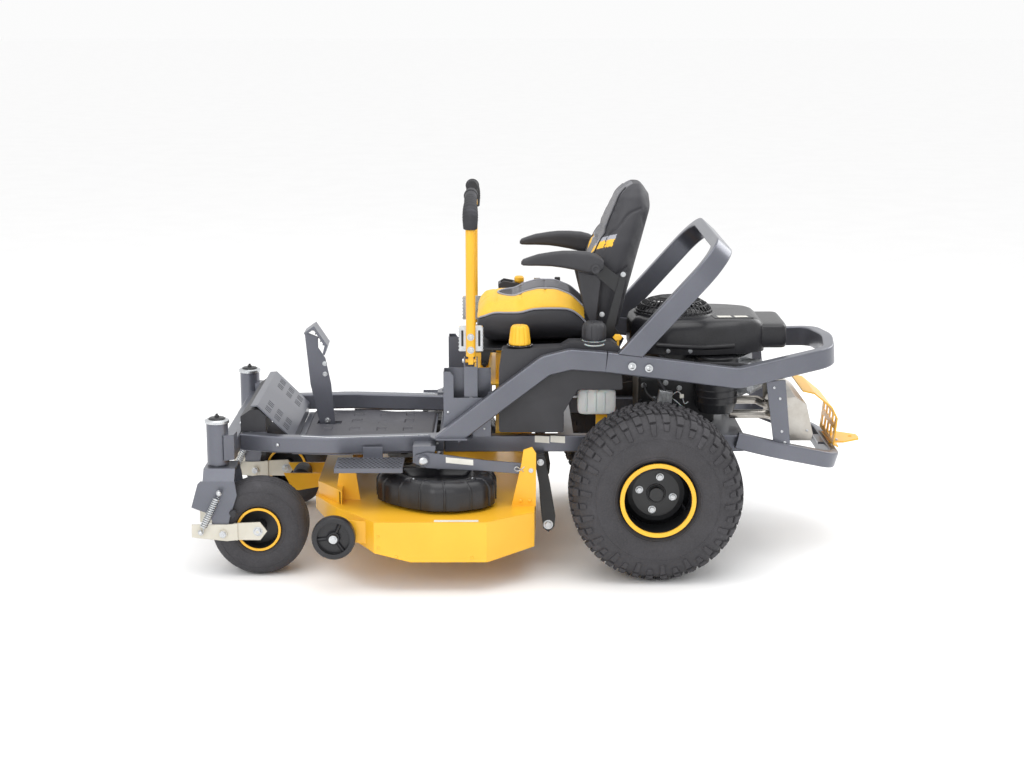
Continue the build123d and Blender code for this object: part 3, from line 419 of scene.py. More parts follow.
# a round bar along points; radius is a number or one for each point
def swept(points, radius, sides=12, caps=True):
    points = [Vector(p) for p in points]
    radii = radius if isinstance(radius, (list, tuple)) else [radius] * len(points)
    side = (points[1] - points[0]).orthogonal().normalized()
    rings = []
    for i, point in enumerate(points):
        ahead = (points[min(i + 1, len(points) - 1)] - points[max(i - 1, 0)]).normalized()
        side = (side - ahead * side.dot(ahead)).normalized()
        other = ahead.cross(side)
        ring = []
        for j in range(sides):
            a = 2 * math.pi * j / sides
            ring.append(tuple(point + (side * math.cos(a) + other * math.sin(a)) * radii[i]))
        rings.append(ring)
    return skin(rings, caps=caps)


# an outline made solid between two planes, its rims chamfered
def slab(outline, low, high, plane="side", edge=0.0):
    middle = Vector((sum(p[0] for p in outline) / len(outline), sum(p[1] for p in outline) / len(outline)))
    rings = []
    for depth, drawn in ((low, edge), (low + edge, 0), (high - edge, 0), (high, edge)) if edge else ((low,
            0), (high, 0)):
        ring = []
        for p in outline:
            flat = Vector(p)
            if drawn:
                inward = middle - flat
                flat = flat + inward * min(drawn * 1.2 / max(inward.length, 0.01), 0.5)
            if plane == "side":
                ring.append((flat.x, depth, flat.y))
            elif plane == "plan":
                ring.append((flat.x, flat.y, depth))
            else:
                ring.append((depth, flat.x, flat.y))
        rings.append(ring)
    return skin(rings)


# a hexagon head with its washer, facing along
def hexBolt(place, along, radius=9.0, height=6.0, washer=1.35):
    along = Vector(along).normalized()
    side = along.orthogonal().normalized()
    other = along.cross(side)
    place = Vector(place)
    rings = []
    for depth, size in ((0, washer), (1.6, washer), (1.6, 1.0), (height - 1.2, 1.0), (height, 0.86),
                        (height, 0.45), (height - 1.0, 0.4)):
        count = 12
        ring = []
        for j in range(count):
            a = 2 * math.pi * j / count
            flat = 1.0 if size > 1.1 or j % 2 == 0 else 0.9
            ring.append(tuple(place + along * depth
                              + (side * math.cos(a) + other * math.sin(a)) * radius * size * flat))
        rings.append(ring)
    return skin(rings)


def domeRivet(place, along, radius=5.0):
    along = Vector(along).normalized()
    side = along.orthogonal().normalized()
    other = along.cross(side)
    rings = []
    for step in range(6):
        lift = math.sin(step / 5 * math.pi / 2 * 0.95)
        size = math.cos(step / 5 * math.pi / 2 * 0.95)
        rings.append([tuple(Vector(place) + along * lift * radius * 0.5 + (side * math.cos(j * 0.6283)
                + other * math.sin(j * 0.6283)) * radius * size)
                      for j in range(10)])
    return skin(rings)


def squared(angle, power):  # a point on a superellipse: high powers are nearly square
    c, s = math.cos(angle), math.sin(angle)
    return math.copysign(abs(c) ** (2 / power), c), math.copysign(abs(s) ** (2 / power), s)


def between(table, value):  # straight-line reading of a table whose rows start with the value
    if value <= table[0][0]:
        return table[0][1:]
    for a, b in zip(table, table[1:]):
        if value <= b[0]:
            t = (value - a[0]) / (b[0] - a[0])
            return tuple(p + (q - p) * t for p, q in zip(a[1:], b[1:]))
    return table[-1][1:]


def stations(table, count):  # the table read at places that crowd towards both of its ends
    first, last = table[0][0], table[-1][0]
    for i in range(count + 1):
        value = first + (last - first) * (0.5 - 0.5 * math.cos(math.pi * i / count))
        yield (value,) + between(table, value)


def flipped(shape):  # the same shape on the machine's other side
    vertices, faces = shape
    return [(x, -y, z) for x, y, z in vertices], [tuple(reversed(face)) for face in faces]


def withMirror(parts):  # parts and their mirror images as one shape
    return joined(parts + [flipped(part) for part in parts])


def sided(shape, side):  # shapes are written for the machine's left
    return shape if side < 0 else flipped(shape)


sides = (("left", -1), ("right", 1))


# braces stand for left or right
def mirroredPair(name, shape, material, body, replaced=(), smoothAngle=35):
    for sideName, side in sides:
        swapped = [node.format(sideName) for node in replaced]
        newPiece(f"{name}_{sideName}", sided(shape, side), material, body.format(sideName), swapped,
                 smoothAngle)

# Drive wheels: carcass, block tread, yellow trim ring and lug bolts
driveTyre = {"radius": 305.0, "middleY": -480.0, "pitches": 36, "steps": 180}
tyreWall = [(131, 103), (136, 123), (146, 132), (165, 139.5), (190, 143.5), (205, 144.5), (228, 142.5),
            (246, 138),
            (262, 130), (275, 119), (284, 106), (289.5, 90), (292.5, 70), (294, 40), (294, 0)]
wallLength = [0.0]
for before, after in zip(tyreWall, tyreWall[1:]):
    wallLength.append(wallLength[-1] + math.hypot(after[0] - before[0], after[1] - before[1]))
crownLength = wallLength[-1]


# across is millimetres round the section from the crown, signed; lift is off the carcass
def treadPoint(angle, across, lift):
    s = crownLength - abs(across)
    i = max(k for k in range(len(wallLength) - 1) if wallLength[k] <= s)
    t = (s - wallLength[i]) / (wallLength[i + 1] - wallLength[i])
    a, b = tyreWall[i], tyreWall[i + 1]
    r, o = a[0] + (b[0] - a[0]) * t, a[1] + (b[1] - a[1]) * t
    normal = Vector((b[1] - a[1], -(b[0] - a[0]))).normalized() * -1
    r, o = r + normal.x * lift, o + normal.y * lift
    y = driveTyre["middleY"] - math.copysign(o, across if across else 1)
    return (r * math.sin(angle), y, driveTyre["radius"] + r * math.cos(angle))


# a block between four (angle, across) corners, with sloped walls
def treadLug(corners, height, across=4, along=2):
    (a0, s0), (a1, s1), (a2, s2), (a3, s3) = corners
    vertices, faces = [], []

    def grid(lift, draw):
        start = len(vertices)
        for i in range(across + 1):
            u = draw + (1 - 2 * draw) * i / across
            for j in range(along + 1):
                v = draw + (1 - 2 * draw) * j / along
                angle = (a0 * (1 - v) + a1 * v) * (1 - u) + (a3 * (1 - v) + a2 * v) * u
                s = (s0 * (1 - v) + s1 * v) * (1 - u) + (s3 * (1 - v) + s2 * v) * u
                vertices.append(treadPoint(angle, s, lift))
        return start

    low, high, top = grid(-3.0, 0.0), grid(height - 1.5, 0.05), grid(height, 0.1)
    wide = along + 1
    rim = [j for j in range(wide)] + [i * wide + along for i in range(1, across + 1)]
    rim += [across * wide + j for j in range(along - 1, -1, -1)] + [i * wide for i in range(across - 1, 0,
            -1)]
    for a, b in ((low, high), (high, top)):
        for k in range(len(rim)):
            n = (k + 1) % len(rim)
            faces.append((a + rim[k], a + rim[n], b + rim[n], b + rim[k]))
    for start, turn in ((low, -1), (top, 1)):
        for i in range(across):
            for j in range(along):
                quad = (start + i * wide + j, start + i * wide + j + 1, start + (i + 1) * wide + j + 1,
                        start + (i + 1) * wide + j)
                faces.append(quad[::turn])
    return vertices, faces


def driveTyreShape():
    middle = driveTyre["middleY"]
    outside = [(r, middle - o) for r, o in tyreWall] + [(r, middle + o) for r, o in reversed(tyreWall[:-1])]
    inside = [(131, middle + 92), (262, middle + 100), (270, middle), (262, middle - 100), (131, middle - 92)]
    parts = [turnedOnY(outside + inside, (0, driveTyre["radius"]), driveTyre["steps"])]
    for ridge, out in ((150, 134.5), (216, 143.5)):  # moulded rings on the sidewall
        bead = [(ridge - 3, middle - out + 2), (ridge - 1.5, middle - out - 1.2),
                (ridge + 1.5, middle - out - 1.2), (ridge + 3, middle - out + 2)]
        parts.append(turnedOnY(bead, (0, driveTyre["radius"]), driveTyre["steps"]))
        parts.append(turnedOnY([(r, 2 * middle - y) for r, y in bead], (0, driveTyre["radius"]),
                               driveTyre["steps"]))
    pitch = 2 * math.pi / driveTyre["pitches"]
    for i in range(driveTyre["pitches"]):
        a = i * pitch
        for hand in (-1, 1):
            b = a + (pitch / 2 if hand > 0 else 0)
            h = hand
            long = 176 if i % 2 else 158  # shoulder blocks run down the wall, long and short by turns
            shapes = [
                ([(b - 0.058, h * 94), (b + 0.034, h * 90), (b + 0.052, h * 128), (b - 0.04, h * 130)], 9.5),
                ([(b - 0.036, h * 134), (b + 0.05, h * 132), (b + 0.044, h * long), (b - 0.022, h * long)],
                 6.0),
                ([(b - 0.075, h * 50), (b - 0.002, h * 44), (b + 0.026, h * 84), (b - 0.055, h * 88)], 10.2),
                ([(b + 0.02, h * 48), (b + 0.078, h * 58), (b + 0.088, h * 84), (b + 0.046, h * 84)], 10.2),
                ([(b - 0.03, h * 3), (b + 0.05, h * 8), (b + 0.066, h * 42), (b - 0.002, h * 38)], 10.6),
                ([(b - 0.092, h * 8), (b - 0.046, h * 4), (b - 0.022, h * 34), (b - 0.082, h * 42)], 10.6),
            ]
            parts.extend(treadLug(corners, height) for corners, height in shapes)
    return joined(parts)


rimTrim = {"inner": 117.0, "outer": 131.0, "face": -622.6, "boltCircle": 60.0, "firstBolt": 12.5,
           "boltRadius": 11.0}
mirroredPair("driveTyre", driveTyreShape(), tyreRubber, "drive_wheel_{}", ["drive_tyre_{}"],
             28)
face, inner, outer = rimTrim["face"], rimTrim["inner"], rimTrim["outer"]
trimRing = [(inner - 0.6, face + 9), (inner - 0.6, face + 1), (inner + 1, face), (outer - 1, face),
            (outer + 0.4, face + 1), (outer + 0.4, face + 8),
            (outer - 2, face + 8), (outer - 2, face + 2), (inner + 2, face + 2), (inner + 2, face + 9)]
mirroredPair("rimTrimRing", turnedOnY(trimRing, (0, 305), 128), yellowCoat, "drive_wheel_{}")
wheelBolts = []
for k in range(4):
    a = math.radians(rimTrim["firstBolt"] + 90 * k)
    place = (rimTrim["boltCircle"] * math.sin(a), -520.4, 305 + rimTrim["boltCircle"] * math.cos(a))
    wheelBolts.append(hexBolt(place, (0, -1, 0), rimTrim["boltRadius"], 12, 1.25))
mirroredPair("wheelBolts", joined(wheelBolts), zincPlate, "drive_wheel_{}")
hub = [(0.5, -529), (19, -529), (21, -527), (21, -519.6), (27, -519.6), (29.5, -523), (33, -523),
       (35, -519.4), (35, -512), (0.5, -512)]
valveStem = swept([(96, -514, 262), (99, -530, 258), (101, -544, 255)], [5, 4.6, 3.6], 12)
mirroredPair("wheelHub", joined([turnedOnY(hub, (0, 305), 48), valveStem]), glossPlastic, "drive_wheel_{}")
print("drive wheels made")

# Front casters: ribbed tyre, trim ring, arm bolts, bump rubbers and coil springs
casterWheel = {"centre": (-1392.0, 170.0), "y": -435.0}
casterWall = [(77, 58), (82, 66), (90, 72), (103, 76.6), (118, 77.6), (132, 76.2), (146, 72.4), (157, 64.5),
              (163.4, 56), (167, 46), (168.6, 40),
              (165.6, 38.5), (165.6, 35), (168.9, 33.5), (169.6, 17.5), (166.4, 16), (166.4, 12.5),
              (169.8, 11), (169.9, 0)]
y = casterWheel["y"]
outside = [(r, y - o) for r, o in casterWall] + [(r, y + o) for r, o in reversed(casterWall[:-1])]
inside = [(77, y + 44), (148, y + 50), (154, y), (148, y - 50), (77, y - 44)]
band = [turnedOnY(outside + inside, casterWheel["centre"], 144)]
trim, armBolts, forkBolts, bumpers = [], [], [], []
for hand in (-1, 1):
    for ridge, out in ((93, 73.4), (139, 74.6)):
        bead = [(ridge - 2, y + hand * (out - 2)), (ridge - 1, y + hand * (out + 0.8)),
                (ridge + 1, y + hand * (out + 0.8)), (ridge + 2, y + hand * (out - 2))]
        band.append(turnedOnY(bead, casterWheel["centre"], 144))
    trimRing = [(69.4, 66), (69.4, 70.2), (70.4, 70.9), (77, 70.9), (78.2, 70), (78.2, 65), (76, 65),
                (76, 69), (71.4, 69), (71.4, 66)]
    trim.append(turnedOnY([(r, y + hand * o) for r, o in trimRing], casterWheel["centre"], 96))
    armBolts.append(hexBolt((-1392, y + hand * 90.4, 170), (0, hand, 0), 13, 10, 1.3))
    armBolts.append(hexBolt((-1513, y + hand * 105, 163), (0, hand, 0), 12, 6, 1.1))
    armBolts.append(domeRivet((-1588, y + hand * 118, 172), (0, hand, 0), 8))
    forkBolts.append(domeRivet((-1520, y + hand * 118, 314), (0, hand, 0), 8.5))
    stem = [(-1476, y + hand * 88, 236), (-1476, y + hand * 90, 236), (-1474, y + hand * 104, 236),
            (-1474, y + hand * 106, 236)]
    bumpers.append(swept(stem, [13, 14, 12, 8], 20))
mirroredPair("casterTyre", joined(band), tyreRubber, "caster_wheel_{}", ["caster_tyre_{}"], 30)
mirroredPair("casterTrimRing", joined(trim), yellowCoat, "caster_wheel_{}")
mirroredPair("armBolts", joined(armBolts), zincPlate, "swing_arm_{}")
mirroredPair("forkBolts", joined(forkBolts), zincPlate, "caster_fork_{}")
mirroredPair("bumpRubbers", joined(bumpers), softRubber, "caster_fork_{}")

springWire = {"hook": 8.5, "coil": 11.0, "wire": 2.3, "turns": 15, "hookLength": 20.0}


def hookPoint(end, square, axis, a):
    return end + square * (springWire["hook"] * math.sin(a)) - axis * (springWire["hook"] * math.cos(a))


def springShape(top, bottom):  # a coil with an open hook round the pin at each end
    axis = (bottom - top).normalized()
    across = Vector((0, 1, 0))
    square = axis.cross(across)
    wire = []
    for i in range(13):
        a = math.pi * (1.9 - 1.45 * i / 12)
        wire.append(hookPoint(top, square, axis, a))
    start, end = top + axis * springWire["hookLength"], bottom - axis * springWire["hookLength"]
    for i in range(springWire["turns"] * 14 + 1):
        a = 2 * math.pi * i / 14
        wire.append(start.lerp(end, i / (springWire["turns"] * 14))
                    + (across * math.cos(a) + square * math.sin(a)) * springWire["coil"])
    for i in range(13):
        a = math.pi * (0.45 + 1.45 * i / 12)
        wire.append(hookPoint(bottom, square, axis, a))
    return swept(wire, springWire["wire"], 8)


for sideName, side in sides:
    for coil, hand in (("outer", -1), ("inner", 1)):
        top, bottom = Vector((-1520, y + hand * 111, 314)), Vector((-1588, y + hand * 111, 172))
        shape = sided(springShape(top, bottom), side)
        spring = newPiece(f"casterSpring_{coil}_{sideName}", shape, zincPlate, None,
                          [f"spring_{sideName}"], 60)
        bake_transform(spring)
print("casters made")

# Seat: inflated cushions cut from vinyl and cloth, with piping on the seams
seatLook = {"voxel": 0.007, "pressure": 4.0, "swell": 0.009, "frames": 20, "stiffness": 12,
            "pipingRadius": 3.6,
            "seamDepth": 0.005, "seamWidth": 0.010}


# hollow sinks the middle of the upper side
def padRing(centre, halfWide, halfDeep, power, hollow, count, build):
    ring = []
    for j in range(count):
        u, v = squared(2 * math.pi * j / count, power)
        dip = hollow * (1 - u * u) * max(v, 0)
        ring.append(build(centre, u * halfWide, v * halfDeep - dip))
    return ring


def cushionShape():
    table = [  # x, lowest z, highest z, half width
        (-634, 812, 868, 186), (-627, 792, 894, 204), (-604, 778, 914, 214), (-555, 772, 922, 219),
        (-490, 774, 924, 220),
        (-452, 776, 944, 220), (-406, 778, 957, 220), (-340, 780, 956, 219), (-285, 783, 934, 215),
        (-240, 788, 890, 208), (-208, 798, 856, 194),
        (-196, 810, 838, 170)]
    rings = []
    for x, low, high, wide in stations(table, 45):
        rings.append(padRing((x, (low + high) / 2), wide, (high - low) / 2, 2.7, 0, 56,
                             lambda c, across, up: (c[0], across, c[1] + up)))
    return skin(rings)


def backShape():
    table = [  # z, front x, rear x, half width
        (798, -188, -132, 176), (812, -206, -124, 196), (860, -232, -112, 208), (930, -250, -96, 216),
        (1000, -246, -77, 220), (1076, -234, -57, 220),
        (1139, -202, -40, 212), (1197, -166, -24, 190), (1256, -140, -7, 160), (1303, -117, -10, 134),
        (1332, -92, -18, 104), (1346, -70, -30, 74)]
    rings = []
    for z, front, rear, wide in stations(table, 55):
        rings.append(padRing((z, (front + rear) / 2), wide, (rear - front) / 2, 3.0, 26 if z < 1180 else 10,
                             60,
                             lambda c, across, deep: (c[1] - deep, across, c[0])))
    return skin(rings)


# voxel remesh, a short pressure simulation with its travel capped, then one subdivision
def inflated(name, shape):
    mesh = bpy.data.meshes.new(name)
    mesh.from_pydata([at(*v) for v in shape[0]], [], shape[1])
    build = bmesh.new()
    build.from_mesh(mesh)
    bmesh.ops.recalc_face_normals(build, faces=build.faces)
    build.to_mesh(mesh)
    build.free()
    pad = bpy.data.objects.new(name, mesh)
    bpy.context.collection.objects.link(pad)
    remesh = pad.modifiers.new("voxels", "REMESH")
    remesh.mode = "VOXEL"
    remesh.voxel_size = seatLook["voxel"]
    remesh.use_smooth_shade = True
    applied(pad)
    rest = [v.co.copy() for v in pad.data.vertices]
    cloth = pad.modifiers.new("cover", "CLOTH")
    cloth.settings.use_pressure = True
    cloth.settings.uniform_pressure_force = seatLook["pressure"]
    cloth.settings.quality = 5
    cloth.settings.tension_stiffness = seatLook["stiffness"]
    cloth.settings.compression_stiffness = seatLook["stiffness"]
    cloth.settings.effector_weights.gravity = 0
    for step in range(1, seatLook["frames"] + 1):
        bpy.context.scene.frame_set(step)
    shaped = pad.evaluated_get(bpy.context.evaluated_depsgraph_get()).data
    swollen = [v.co.copy() for v in shaped.vertices]
    pad.modifiers.clear()
    bpy.context.scene.frame_set(1)
    for vertex, start, end in zip(pad.data.vertices, rest, swollen):
        travel = end - start
        vertex.co = start + travel * min(1.0, seatLook["swell"] / max(travel.length, 1e-9))
    smoothing = pad.modifiers.new("smoothing", "SMOOTH")
    smoothing.iterations = 4
    smoothing.factor = 0.5
    finer = pad.modifiers.new("finer", "SUBSURF")
    finer.levels = 1
    finer.render_levels = 1
    applied(pad)
    return pad


def applied(pad):  # every modifier becomes plain mesh
    bpy.context.view_layer.update()
    shaped = bpy.data.meshes.new_from_object(pad.evaluated_get(bpy.context.evaluated_depsgraph_get()))
    pad.modifiers.clear()
    old = pad.data
    pad.data = shaped
    bpy.data.meshes.remove(old)


def pressSeams(pad, lines):  # sews grooves along lines of points, in machine millimetres
    knots = [at(*p) for line in lines for p in line]
    corners = ((0, 0, 0), (0.0004, 0, 0), (0, 0.0004, 0.0004))
    tree = BVHTree.FromPolygons([k + Vector(c) for k in knots for c in corners],
                                [(3 * i, 3 * i + 1, 3 * i + 2) for i in range(len(knots))])
    normals = [v.normal.copy() for v in pad.data.vertices]
    for vertex, normal in zip(pad.data.vertices, normals):
        _, _, _, distance = tree.find_nearest(vertex.co, seatLook["seamWidth"] * 1.5)
        if distance is not None:
            fade = math.exp(-(distance / (seatLook["seamWidth"] * 0.45)) ** 2)
            vertex.co -= normal * seatLook["seamDepth"] * fade


def onSurface(pad, points, ray, lift=0.0):  # drops each machine point onto the pad along ray
    tree = BVHTree.FromObject(pad, bpy.context.evaluated_depsgraph_get())
    found = []
    for point in smoothLine(points, 10):
        direction = Vector(ray(point)) if callable(ray) else Vector(ray)
        direction.normalize()
        hit, normal, _, _ = tree.ray_cast(at(*point) - direction * 0.4, direction)
        if hit is not None:
            spot = hit + normal * lift
            found.append(((spot.x - axleX) * 1000, (spot.y - middleY) * 1000, spot.z * 1000))
    return found


def paintZones(pad, skins, choose):
    pad.data.materials.clear()
    for skinMaterial in skins:
        pad.data.materials.append(skinMaterial)
    for polygon in pad.data.polygons:
        c = polygon.center
        polygon.material_index = choose((c.x - axleX) * 1000, (c.y - middleY) * 1000, c.z * 1000,
                                        polygon.normal)
        polygon.use_smooth = True


bandLow = [(-640, 852), (-616, 870), (-567, 886), (-518, 887), (-474, 889), (-419, 902), (-342, 904),
           (-293, 898), (-258, 876), (-232, 848)]
seatCushion = inflated("seatCushion", cushionShape())
insetWidth = [(-552, 0), (-546, 28), (-530, 58), (-505, 80), (-470, 94), (-400, 102), (-320, 104),
              (-260, 112), (-215, 130)]
topLine = onSurface(seatCushion, [(x, -wide, 1000) for x, wide in insetWidth], (0, 0, -1))
lowLine = onSurface(seatCushion, [(x, 0, z) for x, z in bandLow[1:]], (0, 1, 0))
topLines = [topLine, [(x, -y, z) for x, y, z in topLine]]
lowLines = [lowLine, [(x, -y, z) for x, y, z in lowLine]]
midLines = [onSurface(seatCushion, [(x, y, 1000) for y in (-140, -90, -40, 0, 40, 90, 140)],
                      (0, 0, -1)) for x in (-560, -470, -380)]
pressSeams(seatCushion, topLines + lowLines + midLines)


def cushionZone(x, y, z, normal):
    if normal.z > 0.3 and x > -552 and abs(y) < between(insetWidth, x)[0]:
        return 1 if abs(y) < 76 and -500 < x < -290 else 0
    return 2 if z > between(bandLow, x)[0] and x < -240 else 0


paintZones(seatCushion, [blackVinyl, greyCloth, yellowVinyl], cushionZone)
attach(seatCushion, "seat")
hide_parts("seat_cushion")
piping = [swept([Vector(p) for p in line], seatLook["pipingRadius"], 8) for line in topLines + lowLines]
newPiece("cushionPiping", joined(piping), paleVinyl, "seat")
print("cushion made")

seatBack = inflated("seatBack", backShape())
frontRay = (1, 0, -0.12)
panelEdge = [  # z, half width of the front panel, x of the ray that drops the seam on
    (850, 158, -300), (930, 166, -300), (1010, 168, -300), (1080, 166, -300), (1140, 154, -300),
    (1200, 134, -260), (1256, 114, -240),
    (1300, 94, -220), (1336, 66, -200)]
edgeLine = onSurface(seatBack, [(x, -wide, z) for z, wide, x in panelEdge], frontRay)
crownLine = onSurface(seatBack, [(-300, y, 1150 - abs(y) * 0.12) for y in (-150, -100, -50, 0, 50, 100,
        150)], frontRay)
waistLine = onSurface(seatBack, [(-300, y, 985) for y in (-164, -100, -50, 0, 50, 100, 164)], frontRay)
sideLine = onSurface(seatBack, [(-179, 0, 1007), (-152, 0, 1013), (-119, 0, 1032), (-92, 0, 1050)], (0, 1, 0))
creaseLine = onSurface(seatBack, [(-172, 0, 1120), (-158, 0, 1160), (-118, 0, 1200), (-80, 0, 1240),
                                  (-40, 0, 1256)], (0, 1, 0))
mirroredLines = [[(x, -y, z) for x, y, z in line] for line in (edgeLine, sideLine, creaseLine)]
pressSeams(seatBack, [edgeLine, crownLine, waistLine, sideLine, creaseLine] + mirroredLines)


def backZone(x, y, z, normal):
    panel = between(panelEdge, z)[0]
    if normal.x > -0.2 or z > 1340:
        return 0
    wedge = 1076 + (abs(y) - 80) * 0.42
    if 80 < abs(y) < panel + 48 and wedge < z < wedge + 48:
        return 2 if z < wedge + 30 else 3
    return 1 if abs(y) < panel and (z > 1150 - abs(y) * 0.12 or abs(y) < 100) else 0


paintZones(seatBack, [blackVinyl, greyCloth, yellowVinyl, paleVinyl], backZone)
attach(seatBack, "seat")
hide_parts("seat_back")
backPiping = [swept([Vector(p) for p in line], 2.6, 8) for line in (edgeLine, mirroredLines[0])]
newPiece("backPiping", joined(backPiping), blackVinyl, "seat")
print("seat back made")

armTable = [(-469, 1074, 1083, 12), (-462, 1070, 1092, 17), (-440, 1069, 1100, 20), (-409, 1069, 1110, 22),
            (-360, 1067, 1118, 23.5), (-323, 1062, 1122, 24),
            (-280, 1054, 1122, 24), (-236, 1043, 1119, 24), (-205, 1041, 1111, 24), (-188, 1047, 1100, 23.5),
            (-178, 1058, 1088, 21)]
armPad = {"y": -268.0, "squareness": 3.2, "seam": 0.94, "pivot": (-206, 1059)}


def armPadShape():
    rings = []
    for x, low, high, wide in stations(armTable, 59):
        ring = []
        for j in range(40):
            u, v = squared(2 * math.pi * j / 40, armPad["squareness"])
            # the parting line between top pad and shell
            drawnIn = armPad["seam"] if abs(v - 0.15) < 0.07 else 1.0
            ring.append((x, armPad["y"] + u * wide * drawnIn * (1.0 if v > 0 else 0.92),
                         (low + high) / 2 + v * (high - low) / 2))
        rings.append(ring)
    pivotCap = [(0.5, -294), (6, -294), (8, -296), (13, -297.5), (16, -296), (17, -290), (0.5, -290)]
    return joined([skin(rings), turnedOnY(pivotCap, armPad["pivot"], 40)])


mirroredPair("armPad", armPadShape(), blackPlastic, "armrest_{}", ["armrest_{}"], 50)
sideCover = [(-266, 1046), (-200, 1034), (-184, 1012), (-196, 900), (-204, 846), (-216, 846), (-242, 900),
             (-262, 980)]
mirroredPair("backSideCover", slab(sideCover, -243, -229, "side", 5), blackPlastic, "seat")
strutBolts = [hexBolt((-180, -246, 890), (0, -1, 0), 7, 5), hexBolt((-106, -246, 1034), (0, -1, 0), 7, 5)]
mirroredPair("strutBolts", joined(strutBolts), zincPlate, "seat")
print("armrests made")

# Lap bars: swollen foam grip with an end ring, serrated adjuster plate and its bolts
foamGrip = {"radius": 22.0, "swell": 5.0, "path": [
    (-647, -338, 1207), (-647, -338, 1232), (-647, -331, 1256), (-647, -310, 1276), (-647, -270, 1290),
    (-647, -220, 1300), (-647, -160, 1306),
    (-647, -118, 1308)]}


def foamGripShape():
    line = smoothLine(foamGrip["path"], 8)
    radii = []
    for i in range(len(line)):
        t = i / (len(line) - 1)
        radius = foamGrip["radius"] + foamGrip["swell"] * math.sin(math.pi * min(t * 1.6 + 0.12, 1.0))
        radii.append(radius * (0.86 if i == 0 else 1.0) * (1.0 if i < len(line) - 2 else 0.85))
    parts = [swept(line, radii, 32), swept(line[-12:-8], [24, 25.5, 25.5, 24], 32)]
    parts += [swept([line[k], line[k + 1]], radii[k] + 0.7, 32) for k in range(10, 40, 3)]  # finger ribs
    return joined(parts)


mirroredPair("leverGrip", foamGripShape(), softRubber, "lap_bar_{}", ["grip_{}"], 50)
reachPlate = [(-688.5, 770.5), (-604, 770.5), (-603.5, 856), (-610, 863.5), (-682, 863.5), (-689, 856)]
reachParts = [slab(reachPlate, -321, -314.5, "side", 0.8)]
for hand in (-1, 1):
    for k in range(7):
        z = 776 + k * 13
        tooth = [(-647 + hand * 41, z - 3), (-647 + hand * 45, z), (-647 + hand * 41, z + 3)]
        reachParts.append(slab(tooth, -321, -314.5, "side"))
# the slots are drawn as black bars on the plate: painted shade standing in for the open slots
reachSlotShadows = [swept([(-647 + hand * 30, -321.4, 790), (-647 + hand * 30, -321.4, 846)], 4.0,
                    10) for hand in (-1, 1)]
reachBolts = [hexBolt((-647, -354.6, z), (0, -1, 0), 9.5, 9) for z in (782, 828)]
pivotBolts = [hexBolt((-647, -357, 600), (0, -1, 0), 10, 8), hexBolt((-671.5, -338, 740), (-1, 0, 0), 8, 6)]
mirroredPair("reachPlate", joined(reachParts), zincPlate, "lap_bar_{}")
mirroredPair("reachSlotShadows", joined(reachSlotShadows), blackCoat, "lap_bar_{}")
mirroredPair("reachBolts", joined(reachBolts), zincPlate, "lap_bar_{}")
mirroredPair("leverPivotBolts", joined(pivotBolts), zincPlate, "lever_{}")
print("lap bars made")

# Cutting deck: moulded belt covers, gauge wheels, deck bolts and blank labels
beltCover = {"centre": (-765, -450), "foot": 262.5, "top": 357.5, "dish": 333.0, "steps": 120,
             "ribs": [(-978, -385), (-954, -470), (-895, -530), (-822, -580), (-735, -600), (-645, -580),
                      (-582, -530), (-562, -440), (-562, -385)],
             "bosses": [(-930, -390), (-600, -390), (-845, -530), (-640, -520)]}
coverPlan = [(-978, -330), (-978, -440), (-930, -500), (-860, -560), (-780, -600), (-690, -600),
             (-600, -560), (-562, -500), (-562, -330)]


def reach(outline, centre, count):  # distance from centre to the outline at evenly spaced angles
    found = []
    for i in range(count):
        a = 2 * math.pi * i / count
        ray = Vector((math.cos(a), math.sin(a)))
        best = 1.0
        for p, q in zip(outline, outline[1:] + outline[:1]):
            p, q = Vector(p) - Vector(centre), Vector(q) - Vector(centre)
            edge = q - p
            turn = ray.x * edge.y - ray.y * edge.x
            if abs(turn) < 1e-9:
                continue
            far = (p.x * edge.y - p.y * edge.x) / turn
            along = (p.x * ray.y - p.y * ray.x) / turn
            if far > 0 and -1e-6 <= along <= 1 + 1e-6:
                best = max(best, far)
        found.append(best)
    return found


def evened(values, passes=2):  # rounds the corners of a closed run of distances, never outward
    for step in range(passes):
        values = [min(v, (values[i - 1] + v + values[(i + 1) % len(values)]) / 3) for i,
                  v in enumerate(values)]
    return values


# rings round centre: each row of the profile is (share of reach, inset, z)
def starSkin(reaches, centre, profile):
    count = len(reaches)
    rings = []
    for share, inset, z in profile:
        rings.append([(centre[0] + max(r * share - inset, 1) * math.cos(2 * math.pi * i / count),
                       centre[1] + max(r * share - inset, 1) * math.sin(2 * math.pi * i / count), z) for i,
                       r in enumerate(reaches)])
    return skin(rings, closed=True)


